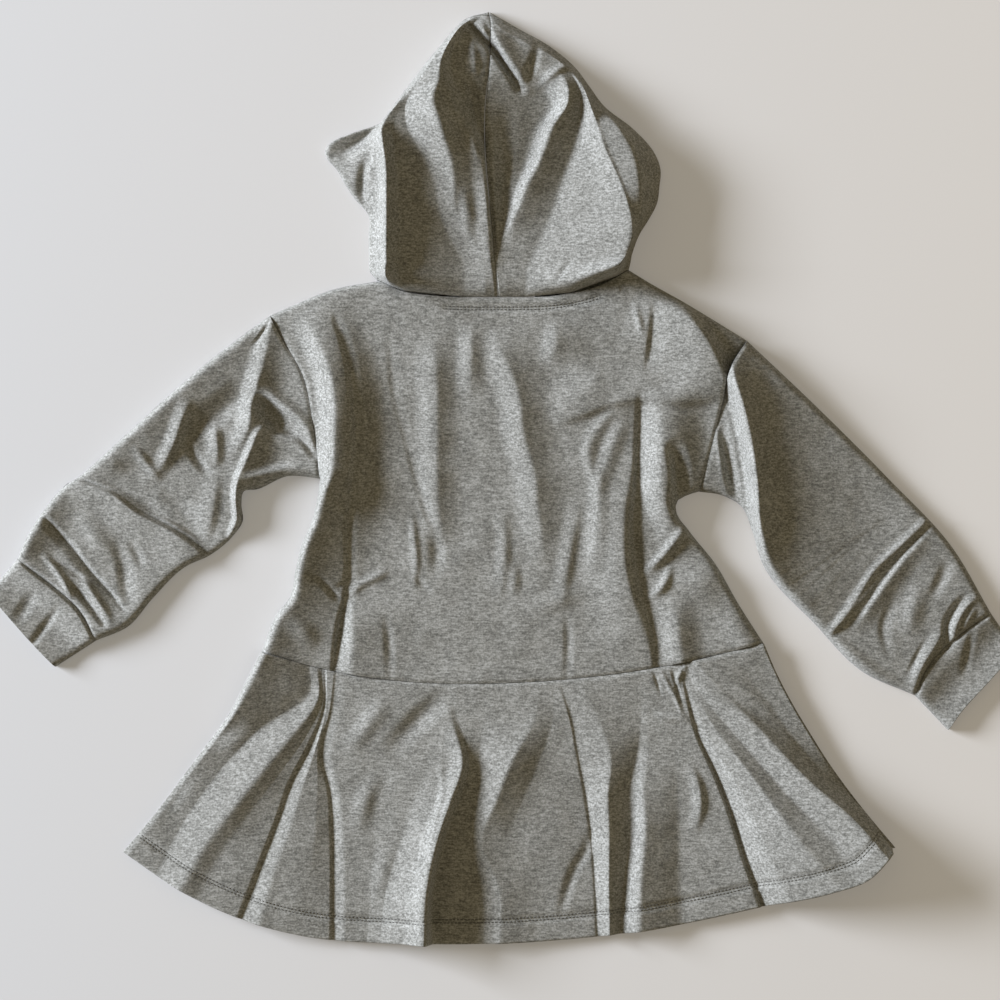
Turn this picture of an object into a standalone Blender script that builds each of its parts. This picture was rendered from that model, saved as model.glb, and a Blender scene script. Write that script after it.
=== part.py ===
"""Hooded dress for a small child, in grey cotton sweatshirt jersey, laid face down on a flat surface.

The back is up, +Y runs from hem to hood and +X to the wearer's right. The front panels lie flat at
z = 0. Every sewn piece is a wall of cloth of its own: back and front bodice, back and front skirt, two
sleeves, two cuffs and the two halves of the hood. Left and right are the wearer's.
"""

import bmesh
import bpy
import numpy as np

# --- Cloth and seams ------------------------------------------------------------------------------

CLOTH = 0.0014  # thickness of the jersey
CUFF_CLOTH = 0.0022  # a cuff is two layers
SEAM_GAP = 0.0003  # distance between two sewn pieces
INSET = SEAM_GAP / 2  # each piece stops this far from the line of its seam
LIMIT = 2.2  # most that a slope may add to the upright thickness of a layer

# --- How the upper layer lies on the lower one ----------------------------------------------------

RIM = 2 * CLOTH + 2 * SEAM_GAP  # top of the upper layer where it meets the lower one
LOFT = 0.0065  # extra height of the upper layer well inside the outline
ROUND = 0.0090  # distance over which it rounds down to the outline
HEM_SINK = 0.40  # share of the loft that is lost at the hem
MOUTH = 0.0006  # least inner height of a sleeve

# --- Steps of the faceted walls -------------------------------------------------------------------

ARMHOLE_STEPS = 8
SIDE_STEPS = 9
SHOULDER_STEPS = 4
NECK_STEPS = 14
SLEEVE_STEPS = 13
CUFF_STEPS = 3
SKIRT_STEPS = 9
HOOD_ROWS = 27
UNDER_STEPS = 5
SEAM_STEPS = 60

# --- Outline: each line is given by the few points that its shape needs, (x, y) in metres ---------

ARMHOLE_LEFT = [(-0.193, 0.155), (-0.182, 0.134), (-0.166, 0.106), (-0.157, 0.065), (-0.151, 0.018)]
ARMHOLE_RIGHT = [(0.207, 0.134), (0.193, 0.112), (0.186, 0.080), (0.176, 0.040), (0.163, 0.006)]
SHOULDER_LEFT = [(-0.193, 0.155), (-0.168, 0.166), (-0.143, 0.176), (-0.102, 0.184)]
SHOULDER_RIGHT = [(0.108, 0.193), (0.126, 0.182), (0.151, 0.168), (0.207, 0.134)]
NECK_BACK = [(-0.102, 0.184), (-0.084, 0.176), (-0.050, 0.171), (-0.003, 0.170), (0.050, 0.172),
             (0.084, 0.180), (0.108, 0.193)]
NECK_FRONT = [(-0.102, 0.184), (-0.084, 0.158), (-0.046, 0.134), (0.000, 0.126), (0.050, 0.136),
              (0.087, 0.161), (0.108, 0.193)]
SIDE_LEFT = [(-0.151, 0.018), (-0.153, 0.000), (-0.165, -0.050), (-0.177, -0.077), (-0.200, -0.127)]
SIDE_RIGHT = [(0.163, 0.006), (0.153, -0.006), (0.160, -0.021), (0.181, -0.052), (0.200, -0.087),
              (0.221, -0.120)]
WAIST = [(-0.200, -0.127), (-0.142, -0.143), (-0.081, -0.152), (0.017, -0.153), (0.096, -0.146),
         (0.160, -0.135), (0.221, -0.120)]
HEM = [(-0.316, -0.295), (-0.272, -0.325), (-0.218, -0.351), (-0.168, -0.365), (-0.070, -0.372),
       (0.035, -0.370), (0.128, -0.360), (0.220, -0.341), (0.278, -0.327), (0.306, -0.316),
       (0.329, -0.292)]
SLEEVE_LEFT_TOP = [(-0.193, 0.155), (-0.222, 0.136), (-0.282, 0.081), (-0.335, 0.035), (-0.354, 0.020),
                   (-0.383, -0.008), (-0.405, -0.049)]
SLEEVE_LEFT_UNDER = [(-0.151, 0.018), (-0.185, 0.017), (-0.212, 0.006), (-0.219, -0.019),
                     (-0.245, -0.045), (-0.291, -0.082), (-0.339, -0.118)]
SLEEVE_RIGHT_TOP = [(0.207, 0.134), (0.265, 0.079), (0.326, 0.018), (0.379, -0.039), (0.412, -0.095)]
SLEEVE_RIGHT_UNDER = [(0.163, 0.006), (0.186, 0.003), (0.205, -0.010), (0.221, -0.055), (0.265, -0.105),
                      (0.304, -0.146), (0.348, -0.164)]
CUFF_LEFT_SEAM = [(-0.405, -0.049), (-0.391, -0.060), (-0.352, -0.094), (-0.339, -0.118)]
CUFF_LEFT_END = [(-0.429, -0.078), (-0.413, -0.097), (-0.386, -0.127), (-0.373, -0.140)]
CUFF_RIGHT_SEAM = [(0.412, -0.095), (0.391, -0.109), (0.359, -0.140), (0.348, -0.164)]
CUFF_RIGHT_END = [(0.433, -0.126), (0.412, -0.150), (0.385, -0.180), (0.376, -0.193)]

FRONT_SKIRT_PROUD = 0.003  # the front skirt shows this far outside the back one along its right side

# --- Flutes of the skirt, from left to right: place on waist, middle and hem, rise at middle and hem ---

PLEATS = [
    # name, waist_x, middle_x, hem_x, middle_rise, hem_rise
    ("left edge", -0.200, -0.256, -0.316, 0.000, 0.000),
    ("left slope", -0.181, -0.231, -0.294, 0.002, 0.003),
    ("ridge a", -0.162, -0.208, -0.271, 0.008, 0.009),
    ("trough a", -0.154, -0.192, -0.234, 0.001, 0.000),
    ("foot b", -0.148, -0.182, -0.219, -0.001, -0.001),
    ("crest b", -0.144, -0.178, -0.213, 0.005, 0.006),
    ("back b", -0.136, -0.160, -0.176, 0.004, 0.005),
    ("foot c", -0.130, -0.146, -0.145, -0.001, -0.001),
    ("crest c", -0.125, -0.140, -0.137, 0.004, 0.005),
    ("plain c", -0.100, -0.105, -0.105, 0.003, 0.003),
    ("slope d", -0.075, -0.067, -0.082, 0.004, 0.007),
    ("crest d", -0.052, -0.040, -0.068, 0.012, 0.013),
    ("foot d", -0.038, -0.025, -0.054, 0.001, 0.002),
    ("trough e", -0.020, -0.008, -0.027, 0.000, 0.001),
    ("crest e", 0.010, 0.006, -0.001, 0.006, 0.005),
    ("plain e", 0.030, 0.034, 0.026, 0.002, 0.002),
    ("trough f", 0.047, 0.059, 0.055, -0.001, 0.000),
    ("foot f", 0.055, 0.070, 0.086, -0.001, -0.001),
    ("crest f", 0.063, 0.078, 0.094, 0.004, 0.005),
    ("slope g", 0.084, 0.096, 0.100, 0.002, 0.002),
    ("foot g", 0.102, 0.112, 0.105, -0.001, -0.001),
    ("crest g", 0.110, 0.118, 0.112, 0.005, 0.007),
    ("plain g", 0.126, 0.138, 0.151, 0.003, 0.003),
    ("slope h", 0.138, 0.158, 0.196, 0.001, 0.000),
    ("foot h", 0.146, 0.171, 0.217, -0.001, -0.001),
    ("crest h", 0.152, 0.177, 0.224, 0.007, 0.008),
    ("plain h", 0.168, 0.197, 0.252, 0.003, 0.004),
    ("crest i", 0.188, 0.232, 0.306, 0.007, 0.004),
    ("slope i", 0.204, 0.250, 0.319, 0.002, 0.002),
    ("right edge", 0.221, 0.265, 0.329, 0.000, 0.000),
]
PLEAT_START = 0.30  # share of the skirt's length over which the flutes rise from the flat waist seam

# --- Largest folds of bodice and sleeves: path through three points, rise, width to each side -----

FOLDS = [
    # name, start_x, start_y, middle_x, middle_y, end_x, end_y, rise, left_width, right_width
    ("left packing crease", -0.135, 0.168, -0.123, 0.060, -0.139, -0.120, 0.0040, 0.020, 0.012),
    ("right packing crease", 0.118, 0.078, 0.115, -0.020, 0.130, -0.140, -0.0035, 0.014, 0.010),
    ("right raised band", 0.126, 0.078, 0.124, 0.030, 0.127, -0.030, 0.0030, 0.008, 0.020),
    ("right underarm fold", 0.140, 0.036, 0.137, 0.000, 0.134, -0.060, -0.0020, 0.010, 0.010),
    ("back ridge", -0.006, 0.128, 0.012, 0.059, 0.018, -0.034, 0.0020, 0.020, 0.025),
    ("left back trough", -0.092, 0.139, -0.086, 0.085, -0.078, 0.038, -0.0020, 0.012, 0.012),
    ("left sleeve head", -0.193, 0.148, -0.206, 0.080, -0.228, 0.042, 0.0055, 0.020, 0.014),
    ("left sleeve roll", -0.200, 0.060, -0.218, 0.022, -0.222, -0.015, 0.0040, 0.020, 0.007),
    ("left sleeve slant", -0.258, 0.080, -0.272, 0.050, -0.284, 0.028, 0.0035, 0.018, 0.014),
    ("left elbow", -0.355, 0.014, -0.305, -0.012, -0.245, -0.045, -0.0035, 0.016, 0.012),
    ("left cuff gathers", -0.390, -0.030, -0.362, -0.060, -0.335, -0.100, 0.0030, 0.016, 0.016),
    ("right sleeve head", 0.192, 0.108, 0.213, 0.032, 0.219, -0.045, 0.0070, 0.014, 0.050),
    ("right elbow ridge", 0.355, -0.020, 0.316, -0.060, 0.278, -0.112, 0.0035, 0.030, 0.010),
    ("right cuff gathers", 0.396, -0.082, 0.368, -0.110, 0.350, -0.135, 0.0030, 0.016, 0.016),
    ("left cuff pressed flat", -0.415, -0.065, -0.388, -0.094, -0.358, -0.128, -0.0035, 0.030, 0.022),
    ("right cuff pressed flat", 0.423, -0.111, 0.393, -0.145, 0.363, -0.178, -0.0035, 0.022, 0.030),
]
FOLD_FADE = 0.22  # share of a fold's length over which each end dies out
PATH_STEPS = 14

# --- Halves of the hood, in millimetres: one row for each level, from the neck seam to the crown --

MM = 0.001

CENTRE_SEAM = [
    # y, x, z
    (170, -3, 12),
    (177.5, -3, 17),
    (197, -5, 20),
    (222, -8, 21),
    (247, -11, 24),
    (273, -12, 27),
    (294, -13, 29),
    (315, -13, 30),
    (336, -12, 30),
    (361, -9, 27),
    (382, -8, 22),
    (397, -8, 14),
    (404, -8.5, 8.5),
]
HOOD_LEFT = [
    # y, then x and z of ridge, valley, crease, side, lobe and edge, then x and y of the face opening
    (177.5, -16, 18, -46, 15, -93, 16, -98, 9, -102, 7, -105, 6, -4, 131),
    (197.5, -19, 25, -50, 16, -95, 26, -101, 14, -104, 8, -108, 6, -19, 153),
    (227, -24, 29, -59, 18, -95, 31, -101, 16, -105, 9, -109, 6, -35, 185),
    (247, -33, 31, -64, 20, -95, 33, -102, 16, -108, 10, -113, 6, -45, 214),
    (260, -37, 32, -67, 21, -95, 34, -101, 17, -112, 13, -125, 6, -48, 231),
    (276, -41, 33, -70, 22, -95, 35, -101, 19, -116, 17, -136, 6, -50, 252),
    (294, -45, 34, -74, 24, -96, 34, -102, 22, -121, 18, -147, 6, -50, 277),
    (302, -47, 34, -75, 26, -96, 33, -100, 24, -112, 17, -139, 6, -49, 289),
    (312.5, -50, 35, -77, 28, -92, 30, -95, 22, -99, 14, -103, 6, -47, 302),
    (336, -55, 35, -68, 32, -74, 27, -78, 20, -82, 12, -85, 6, -40, 323),
    (361, -40, 31, -50, 26, -56, 20, -60, 15, -63, 10, -66, 6, -31, 338),
    (382, -29, 25, -37, 20, -42, 15, -45, 12, -47, 9, -49, 6, -22, 347),
    (397, -22, 16, -27, 13, -30, 11, -32, 9, -34, 7, -36, 6, -14, 351),
    (404, -16, 8, -20, 7.8, -22, 7.4, -24, 7, -26, 6.5, -28, 6, -11, 352),
]
HOOD_RIGHT = [
    (177.5, 10, 17, 25, 16, 101, 16, 104, 10, 107, 7, 110, 6, 4, 131),
    (197.5, 6, 18, 17, 17, 106, 26, 109, 15, 112, 9, 114, 6, 19, 153),
    (220, 2, 21, 13, 17, 110, 32, 114, 20, 117, 12, 121, 6, 38, 185),
    (247, 10, 27, 31, 20, 104, 33, 110, 18, 120, 14, 131, 6, 50, 214),
    (273, 20, 29, 47, 22, 100, 33, 106, 17, 118, 15, 134, 6, 55, 248),
    (294, 31, 31, 65, 24, 94, 32, 99, 18, 111, 15, 127, 6, 56, 277),
    (315, 41, 32, 68, 27, 86, 30, 90, 19, 96, 13, 104, 6, 52, 302),
    (333, 49, 32, 66, 28, 76, 24, 79, 18, 82, 11, 85, 6, 44, 323),
    (361, 38, 29, 50, 23, 56, 18, 59, 13, 61, 9, 64, 6, 31, 338),
    (382, 12, 22, 26, 17, 31, 13, 34, 10, 37, 8, 39, 6, 14, 347),
    (397, -2, 14, 3, 11, 6, 10, 8, 8, 10, 7, 12, 6, 0, 351),
    (404, -6.5, 8.5, -4.5, 8, -3, 7.5, -2, 7, -1, 6.5, 0, 6, -6, 352),
]
LINES = 7  # seam, ridge, valley, crease, side, lobe, edge
TOP_COLUMNS = [0.0, 0.5, 1.0, 1.5, 2.0, 2.5, 3.0, 4.0, 5.0, 6.0]  # numbers of lines, also in between
CROWN = (-0.009, 0.4065)  # where the centre seam turns over the crown
CROWN_HEIGHT = 0.0060
FOREHEAD = (-0.009, 0.353)  # where the centre seam meets the face opening
SIDE_BULGE = 0.0008  # how far the rolled edge stands out past its upper line
ROLL = 0.45  # height of that roll, as a share of the edge's height
NECK_REACH = 0.030  # height above the neck seam over which the levels straighten out of its curve

# --- Colours, linear, with roughness --------------------------------------------------------------

HEATHER_GREY = (0.250, 0.246, 0.222)
CLOTH_ROUGHNESS = 0.92


# --- Curves and patches ---------------------------------------------------------------------------

def blend(table, place, wanted):
    """Rows of a table, given at rising places, read off smooth curves at the wanted places."""
    slope = np.gradient(table, place, axis=0)
    k = np.clip(np.searchsorted(place, wanted, side="right") - 1, 0, len(table) - 2)
    width = (place[k + 1] - place[k])[:, None]
    t = (wanted - place[k])[:, None] / width
    return ((1 + 2 * t) * (1 - t) ** 2 * table[k] + t * (1 - t) ** 2 * width * slope[k]
            + t ** 2 * (3 - 2 * t) * table[k + 1] - t ** 2 * (1 - t) * width * slope[k + 1])


def along(points, shares):
    """Places at the given shares of the chord length of a smooth curve through the points."""
    points = np.asarray(points, float)
    steps = np.linalg.norm(np.diff(points, axis=0), axis=1)
    place = np.concatenate(([0.0], np.cumsum(steps))) / steps.sum()
    return blend(points, place, np.asarray(shares, float))


def even(points, steps):
    """A smooth curve as steps + 1 evenly spaced places."""
    return along(points, np.linspace(0.0, 1.0, steps + 1))


def joined(*lines):
    """Lines that follow on from one another, as one row of points."""
    return np.vstack([lines[0]] + [line[1:] for line in lines[1:]])


def patch(start, end, left, right):
    """Grid of plan points between four edges: row 0 is start, the last row is end."""
    u = np.linspace(0.0, 1.0, len(start))[None, :, None]
    v = np.linspace(0.0, 1.0, len(left))[:, None, None]
    ruled = (1 - v) * start[None] + v * end[None] + (1 - u) * left[:, None] + u * right[:, None]
    corners = ((1 - u) * (1 - v) * start[0] + u * (1 - v) * start[-1]
               + (1 - u) * v * end[0] + u * v * end[-1])
    return ruled - corners


def toward(points, aim, distance):
    """Points moved a fixed distance towards their partners in aim."""
    way = aim - points
    return points + way / np.linalg.norm(way, axis=-1, keepdims=True) * distance


def drawn_back(plan, first=INSET, last=INSET):
    """A plan grid drawn back from the seams at its first and last rows."""
    plan = plan.copy()
    plan[0] = toward(plan[0], plan[1], first)
    plan[-1] = toward(plan[-1], plan[-2], last)
    return plan


# --- Height of the upper layer --------------------------------------------------------------------

FREE_EDGES = [SHOULDER_LEFT, SHOULDER_RIGHT, SIDE_LEFT, SIDE_RIGHT, SLEEVE_LEFT_TOP, SLEEVE_LEFT_UNDER,
              SLEEVE_RIGHT_TOP, SLEEVE_RIGHT_UNDER, [WAIST[0], HEM[0]], [WAIST[-1], HEM[-1]],
              [CUFF_LEFT_SEAM[0], CUFF_LEFT_END[0]], [CUFF_LEFT_SEAM[-1], CUFF_LEFT_END[-1]],
              [CUFF_RIGHT_SEAM[0], CUFF_RIGHT_END[0]], [CUFF_RIGHT_SEAM[-1], CUFF_RIGHT_END[-1]]]


def nearest(plan, path):
    """Distance to a path, side of it (+1 on its left) and share of its length, for every plan point."""
    best = np.full(plan.shape[:-1], np.inf)
    side = np.zeros(plan.shape[:-1])
    share = np.zeros(plan.shape[:-1])
    last = len(path) - 1
    for k in range(last):
        run = path[k + 1] - path[k]
        offset = plan - path[k]
        t = np.clip((offset @ run) / (run @ run), 0.0, 1.0)
        gap = np.linalg.norm(offset - t[..., None] * run, axis=-1)
        closer = gap < best
        best = np.where(closer, gap, best)
        side = np.where(closer, np.sign(run[0] * offset[..., 1] - run[1] * offset[..., 0]), side)
        share = np.where(closer, (k + t) / last, share)
    return best, side, share


def folds(plan):
    """Sum of the soft ridges and troughs."""
    height = np.zeros(plan.shape[:-1])
    t = np.linspace(0.0, 1.0, PATH_STEPS)[:, None]
    for _name, x0, y0, x1, y1, x2, y2, rise, left_width, right_width in FOLDS:
        start, middle, end = np.array((x0, y0)), np.array((x1, y1)), np.array((x2, y2))
        path = (1 - t) * (1 - 2 * t) * start + 4 * t * (1 - t) * middle + t * (2 * t - 1) * end
        gap, side, share = nearest(plan, path)
        width = np.where(side > 0, right_width, left_width)
        across = 0.5 + 0.5 * np.cos(np.pi * np.clip(gap / width, 0.0, 1.0))
        ends = np.clip(np.minimum(share, 1 - share) / FOLD_FADE, 0.0, 1.0)
        height += rise * across * ends * ends * (3 - 2 * ends)
    return height


def surface(plan, loft_share=1.0):
    """Height of the outside of the upper layer over a plan point."""
    inside = np.full(plan.shape[:-1], np.inf)
    for edge in FREE_EDGES:
        inside = np.minimum(inside, nearest(plan, even(edge, PATH_STEPS))[0])
    rounding = 1 - np.exp(-inside / ROUND)
    return RIM + rounding * (LOFT * loft_share + folds(plan))


def upright(top):
    """Upright thickness that keeps a layer's true thickness on its slopes."""
    normal = np.cross(np.gradient(top, axis=0), np.gradient(top, axis=1))
    tilt = np.linalg.norm(normal, axis=-1) / np.maximum(np.abs(normal[..., 2]), 1e-9)
    return np.minimum(tilt, LIMIT)


# --- Walls ----------------------------------------------------------------------------------------

def wall(outer, inner, ring=False):
    """Corners and triangles of the closed body between two grids.

    A ring joins its last column to its first one.
    """
    rows, columns = outer.shape[:2]
    corners = np.concatenate((outer.reshape(-1, 3), inner.reshape(-1, 3)))
    under = rows * columns
    spans = columns if ring else columns - 1
    triangles = []

    def quad(a, b, c, d):
        triangles.extend(((a, b, c), (a, c, d)))

    for i in range(rows - 1):
        for j in range(spans):
            a, b = i * columns + j, i * columns + (j + 1) % columns
            quad(a, b, b + columns, a + columns)
            quad(under + a, under + a + columns, under + b + columns, under + b)
    for j in range(spans):
        a, b = j, (j + 1) % columns
        quad(b, a, under + a, under + b)
        a, b = a + (rows - 1) * columns, b + (rows - 1) * columns
        quad(a, b, under + b, under + a)
    if not ring:
        for i in range(rows - 1):
            a, b = i * columns, (i + 1) * columns
            quad(a, b, under + b, under + a)
            a, b = a + columns - 1, b + columns - 1
            quad(b, a, under + a, under + b)
    return corners, triangles


def lifted(plan, height):
    """Plan points with a height, as points in space."""
    return np.concatenate((plan, np.broadcast_to(height, plan.shape[:-1])[..., None]), axis=-1)


def upper_panel(plan, height):
    """A back panel, lying on the front panel below it."""
    top = lifted(plan, height)
    below = np.maximum(height - CLOTH * upright(top), CLOTH + SEAM_GAP)
    return wall(top, lifted(plan, below))


def flat_panel(plan):
    """A front panel, flat on the surface that the dress lies on."""
    return wall(lifted(plan, CLOTH), lifted(plan, 0.0))


def tube(plan, cloth):
    """A sleeve or cuff: a ring of cloth, flat below, with an upper side that follows the surface."""
    height = surface(plan)
    top = lifted(plan, height)
    inner_plan = plan.copy()
    inner_plan[:, 0] = toward(plan[:, 0], plan[:, 1], cloth)
    inner_plan[:, -1] = toward(plan[:, -1], plan[:, -2], cloth)
    inner_height = surface(inner_plan) - cloth * upright(top)
    inner_top = lifted(inner_plan, np.maximum(inner_height, cloth + MOUTH))
    outer = np.concatenate((top, lifted(plan, 0.0)[:, ::-1]), axis=1)
    inner = np.concatenate((inner_top, lifted(inner_plan, cloth)[:, ::-1]), axis=1)
    return wall(outer, inner, ring=True)


# --- Body -----------------------------------------------------------------------------------------

def bodice_plan(neck, steps):
    """Plan of a bodice panel, from shoulders and neck down to the waist seam."""
    start = joined(even(SHOULDER_LEFT, SHOULDER_STEPS), even(neck, steps),
                   even(SHOULDER_RIGHT, SHOULDER_STEPS))
    end = skirt_plan(np.linspace(0, len(PLEATS) - 1, len(start)), seam=0.0)[0]
    left = joined(even(ARMHOLE_LEFT, ARMHOLE_STEPS), even(SIDE_LEFT, SIDE_STEPS))
    right = joined(even(ARMHOLE_RIGHT, ARMHOLE_STEPS), even(SIDE_RIGHT, SIDE_STEPS))
    plan = drawn_back(patch(start, end, left, right))
    armhole = slice(0, ARMHOLE_STEPS + 1)
    plan[armhole, 0] = toward(plan[armhole, 0], plan[armhole, 1], INSET)
    plan[armhole, -1] = toward(plan[armhole, -1], plan[armhole, -2], INSET)
    return plan


def skirt_plan(columns, proud=0.0, seam=INSET):
    """Plan of a skirt panel; columns are numbers of PLEATS, also in between, and run down the flutes."""
    table = np.array([row[1:] for row in PLEATS])
    number = np.arange(len(table))
    waist_x, middle_x, hem_x = (np.interp(columns, number, table[:, k]) for k in range(3))
    waist = on_line(WAIST, waist_x)
    hem = on_line(HEM, hem_x)
    middle = np.stack((middle_x, (waist[:, 1] + hem[:, 1]) / 2), axis=-1)
    v = np.linspace(0.0, 1.0, SKIRT_STEPS + 1)[:, None, None]
    plan = (1 - v) * (1 - 2 * v) * waist + 4 * v * (1 - v) * middle + v * (2 * v - 1) * hem
    plan[:, -1, 0] += proud * v[:, 0, 0]
    return drawn_back(plan, first=seam, last=0.0)


def on_line(line, x):
    """Places on a curve that runs from left to right, at the given x."""
    fine = even(line, 200)
    return np.stack((x, np.interp(x, fine[:, 0], fine[:, 1])), axis=-1)


def skirt_height(plan, columns):
    """Height of the back skirt: the shared surface with the flutes on it."""
    table = np.array([row[1:] for row in PLEATS])
    number = np.arange(len(table))
    middle_rise, hem_rise = (np.interp(columns, number, table[:, k]) for k in (3, 4))
    v = np.linspace(0.0, 1.0, len(plan))[:, None]
    start = np.clip(v / PLEAT_START, 0.0, 1.0)
    flute = (middle_rise + (hem_rise - middle_rise) * v) * start * start * (3 - 2 * start)
    return np.maximum(surface(plan, 1 - HEM_SINK * v) + flute, RIM)


# --- Hood -----------------------------------------------------------------------------------------

def hood_half(table, side):
    """One half of the hood: from the centre seam over the top, round the side, to the face opening.

    side is -1 for the left half and +1 for the right one. Row 0 is the neck seam, and the last row is
    the stretch of the centre seam that turns over the crown and runs down to the forehead.
    """
    table = np.array(table) * MM
    columns = np.array(TOP_COLUMNS)
    levels = blend(table, np.arange(len(table)), np.linspace(0, len(table) - 1, HOOD_ROWS))
    seam_table = np.array(CENTRE_SEAM) * MM
    seam = blend(seam_table, seam_table[:, 0], np.linspace(*seam_table[[0, -1], 0], SEAM_STEPS + 1))
    under = np.linspace(0.0, 1.0, UNDER_STEPS + 1)[1:, None]

    corner = NECK_BACK[0] if side < 0 else NECK_BACK[-1]
    lines_x = slice(1, 2 * LINES - 1, 2)
    lines_z = slice(2, 2 * LINES - 1, 2)
    opening = slice(2 * LINES - 1, None)
    first_x = np.interp(columns, range(LINES), np.concatenate((seam[:1, 1], table[0, lines_x])))
    neck_top = on_line(NECK_BACK, first_x * corner[0] / first_x[-1])
    neck_under = along(NECK_FRONT, 0.5 + side * 0.5 * (1 - under[:, 0]))
    neck_height = surface(neck_top)
    neck_height[-1] = RIM
    rows = [section(lifted(neck_top, neck_height), neck_top[-1], neck_under, side, 0.0)]

    neck_y = neck_top[:, 1] - neck_top[0, 1]
    for level in levels:
        seam_x, seam_z = (np.interp(level[0], seam[:, 0], seam[:, k]) for k in (1, 2))
        x = np.interp(columns, range(LINES), np.concatenate(((seam_x,), level[lines_x])))
        z = np.interp(columns, range(LINES), np.concatenate(((seam_z,), level[lines_z])))
        y = level[0] + neck_y * np.exp(-(level[0] - table[0, 0]) / NECK_REACH)
        top = np.stack((x, y, z), axis=-1)
        edge = top[-1, :2]
        underside = edge + under * (level[opening] - edge)
        rows.append(section(top, edge, underside, side, SIDE_BULGE))

    turn = np.linspace(0.0, 1.0, len(columns)) * np.pi / 2
    crown = np.array(CROWN)
    top = np.stack((np.full_like(turn, crown[0]), crown[1] + CROWN_HEIGHT / 2 * np.sin(turn),
                    CROWN_HEIGHT / 2 * (1 + np.cos(turn))), axis=-1)
    edge = top[-1, :2]
    rows.append(section(top, edge, edge + under * (np.array(FOREHEAD) - edge), side, 0.0))

    return np.stack(rows)


def section(top, edge, underside, side, bulge):
    """One level of a half: the top, the rolled side and the underside down to the face opening."""
    height = top[-1, 2]
    rolled = np.array([(edge[0] + side * bulge, edge[1], height * ROLL)])
    foot = np.array([(edge[0] + side * bulge / 2, edge[1], 0.0)])
    return np.concatenate((top, rolled, foot, lifted(underside, 0.0)))


def hood_wall(table, side):
    """Closed wall of one half of the hood, drawn back from the centre seam and the neck seam."""
    grid = hood_half(table, side)
    normal = np.cross(np.gradient(grid, axis=1), np.gradient(grid, axis=0)) * side
    for seam in (normal[:, 0], normal[-1]):
        seam[:, 0] = 0.0
    normal /= np.linalg.norm(normal, axis=-1, keepdims=True)
    grid[:, 0, 0] += side * INSET
    grid[-1, :, 0] += side * INSET
    grid[0, :, 1] += INSET
    inner = grid - CLOTH * normal
    return wall(grid, inner)


# --- Objects --------------------------------------------------------------------------------------

def jersey(name):
    """Material of one piece."""
    material = bpy.data.materials.new(name)
    material.use_nodes = True
    shader = material.node_tree.nodes["Principled BSDF"]
    shader.inputs["Base Color"].default_value = (*HEATHER_GREY, 1.0)
    shader.inputs["Roughness"].default_value = CLOTH_ROUGHNESS
    shader.inputs["Metallic"].default_value = 0.0
    return material


def sew(name, body):
    """An object from the corners and triangles of a wall."""
    corners, triangles = body
    mesh = bpy.data.meshes.new(name)
    mesh.from_pydata([tuple(corner) for corner in corners], [], triangles)
    shape = bmesh.new()
    shape.from_mesh(mesh)
    bmesh.ops.recalc_face_normals(shape, faces=shape.faces)
    shape.to_mesh(mesh)
    shape.free()
    mesh.materials.append(jersey(name + "_jersey"))
    bpy.context.scene.collection.objects.link(bpy.data.objects.new(name, mesh))


def sleeve_plan(armhole, cuff_seam, top, under):
    """Plan of a sleeve, from the armhole to the seam of its cuff."""
    plan = patch(even(armhole, ARMHOLE_STEPS), even(cuff_seam, ARMHOLE_STEPS), even(top, SLEEVE_STEPS),
                 even(under, SLEEVE_STEPS))
    return drawn_back(plan)


def cuff_plan(seam, end):
    """Plan of a cuff, from its seam to the wrist."""
    start, finish = even(seam, ARMHOLE_STEPS), even(end, ARMHOLE_STEPS)
    shares = np.linspace(0.0, 1.0, CUFF_STEPS + 1)[:, None, None]
    return drawn_back(start + shares * (finish - start), last=0.0)


def main():
    for thing in list(bpy.data.objects):
        bpy.data.objects.remove(thing)

    back = bodice_plan(NECK_BACK, NECK_STEPS)
    sew("back_bodice", upper_panel(back, surface(back)))
    sew("front_bodice", flat_panel(bodice_plan(NECK_FRONT, 2 * UNDER_STEPS)))

    flutes = np.arange(len(PLEATS))
    skirt = skirt_plan(flutes)
    sew("back_skirt", upper_panel(skirt, skirt_height(skirt, flutes)))
    plain = np.linspace(0, len(PLEATS) - 1, 2 * UNDER_STEPS + 2 * SHOULDER_STEPS + 1)
    sew("front_skirt", flat_panel(skirt_plan(plain, FRONT_SKIRT_PROUD)))

    sleeve = sleeve_plan(ARMHOLE_LEFT, CUFF_LEFT_SEAM, SLEEVE_LEFT_TOP, SLEEVE_LEFT_UNDER)
    sew("sleeve_left", tube(sleeve, CLOTH))
    sleeve = sleeve_plan(ARMHOLE_RIGHT, CUFF_RIGHT_SEAM, SLEEVE_RIGHT_TOP, SLEEVE_RIGHT_UNDER)
    sew("sleeve_right", tube(sleeve, CLOTH))
    sew("cuff_left", tube(cuff_plan(CUFF_LEFT_SEAM, CUFF_LEFT_END), CUFF_CLOTH))
    sew("cuff_right", tube(cuff_plan(CUFF_RIGHT_SEAM, CUFF_RIGHT_END), CUFF_CLOTH))

    sew("hood_left", hood_wall(HOOD_LEFT, -1))
    sew("hood_right", hood_wall(HOOD_RIGHT, 1))


main()
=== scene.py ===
"""Looks of the hooded dress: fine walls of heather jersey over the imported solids, floor, light, camera.

The dress lies face down: the back is up, +Y runs from hem to hood and +X to the wearer's right.
All tables are in millimetres.
"""

import math

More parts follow.
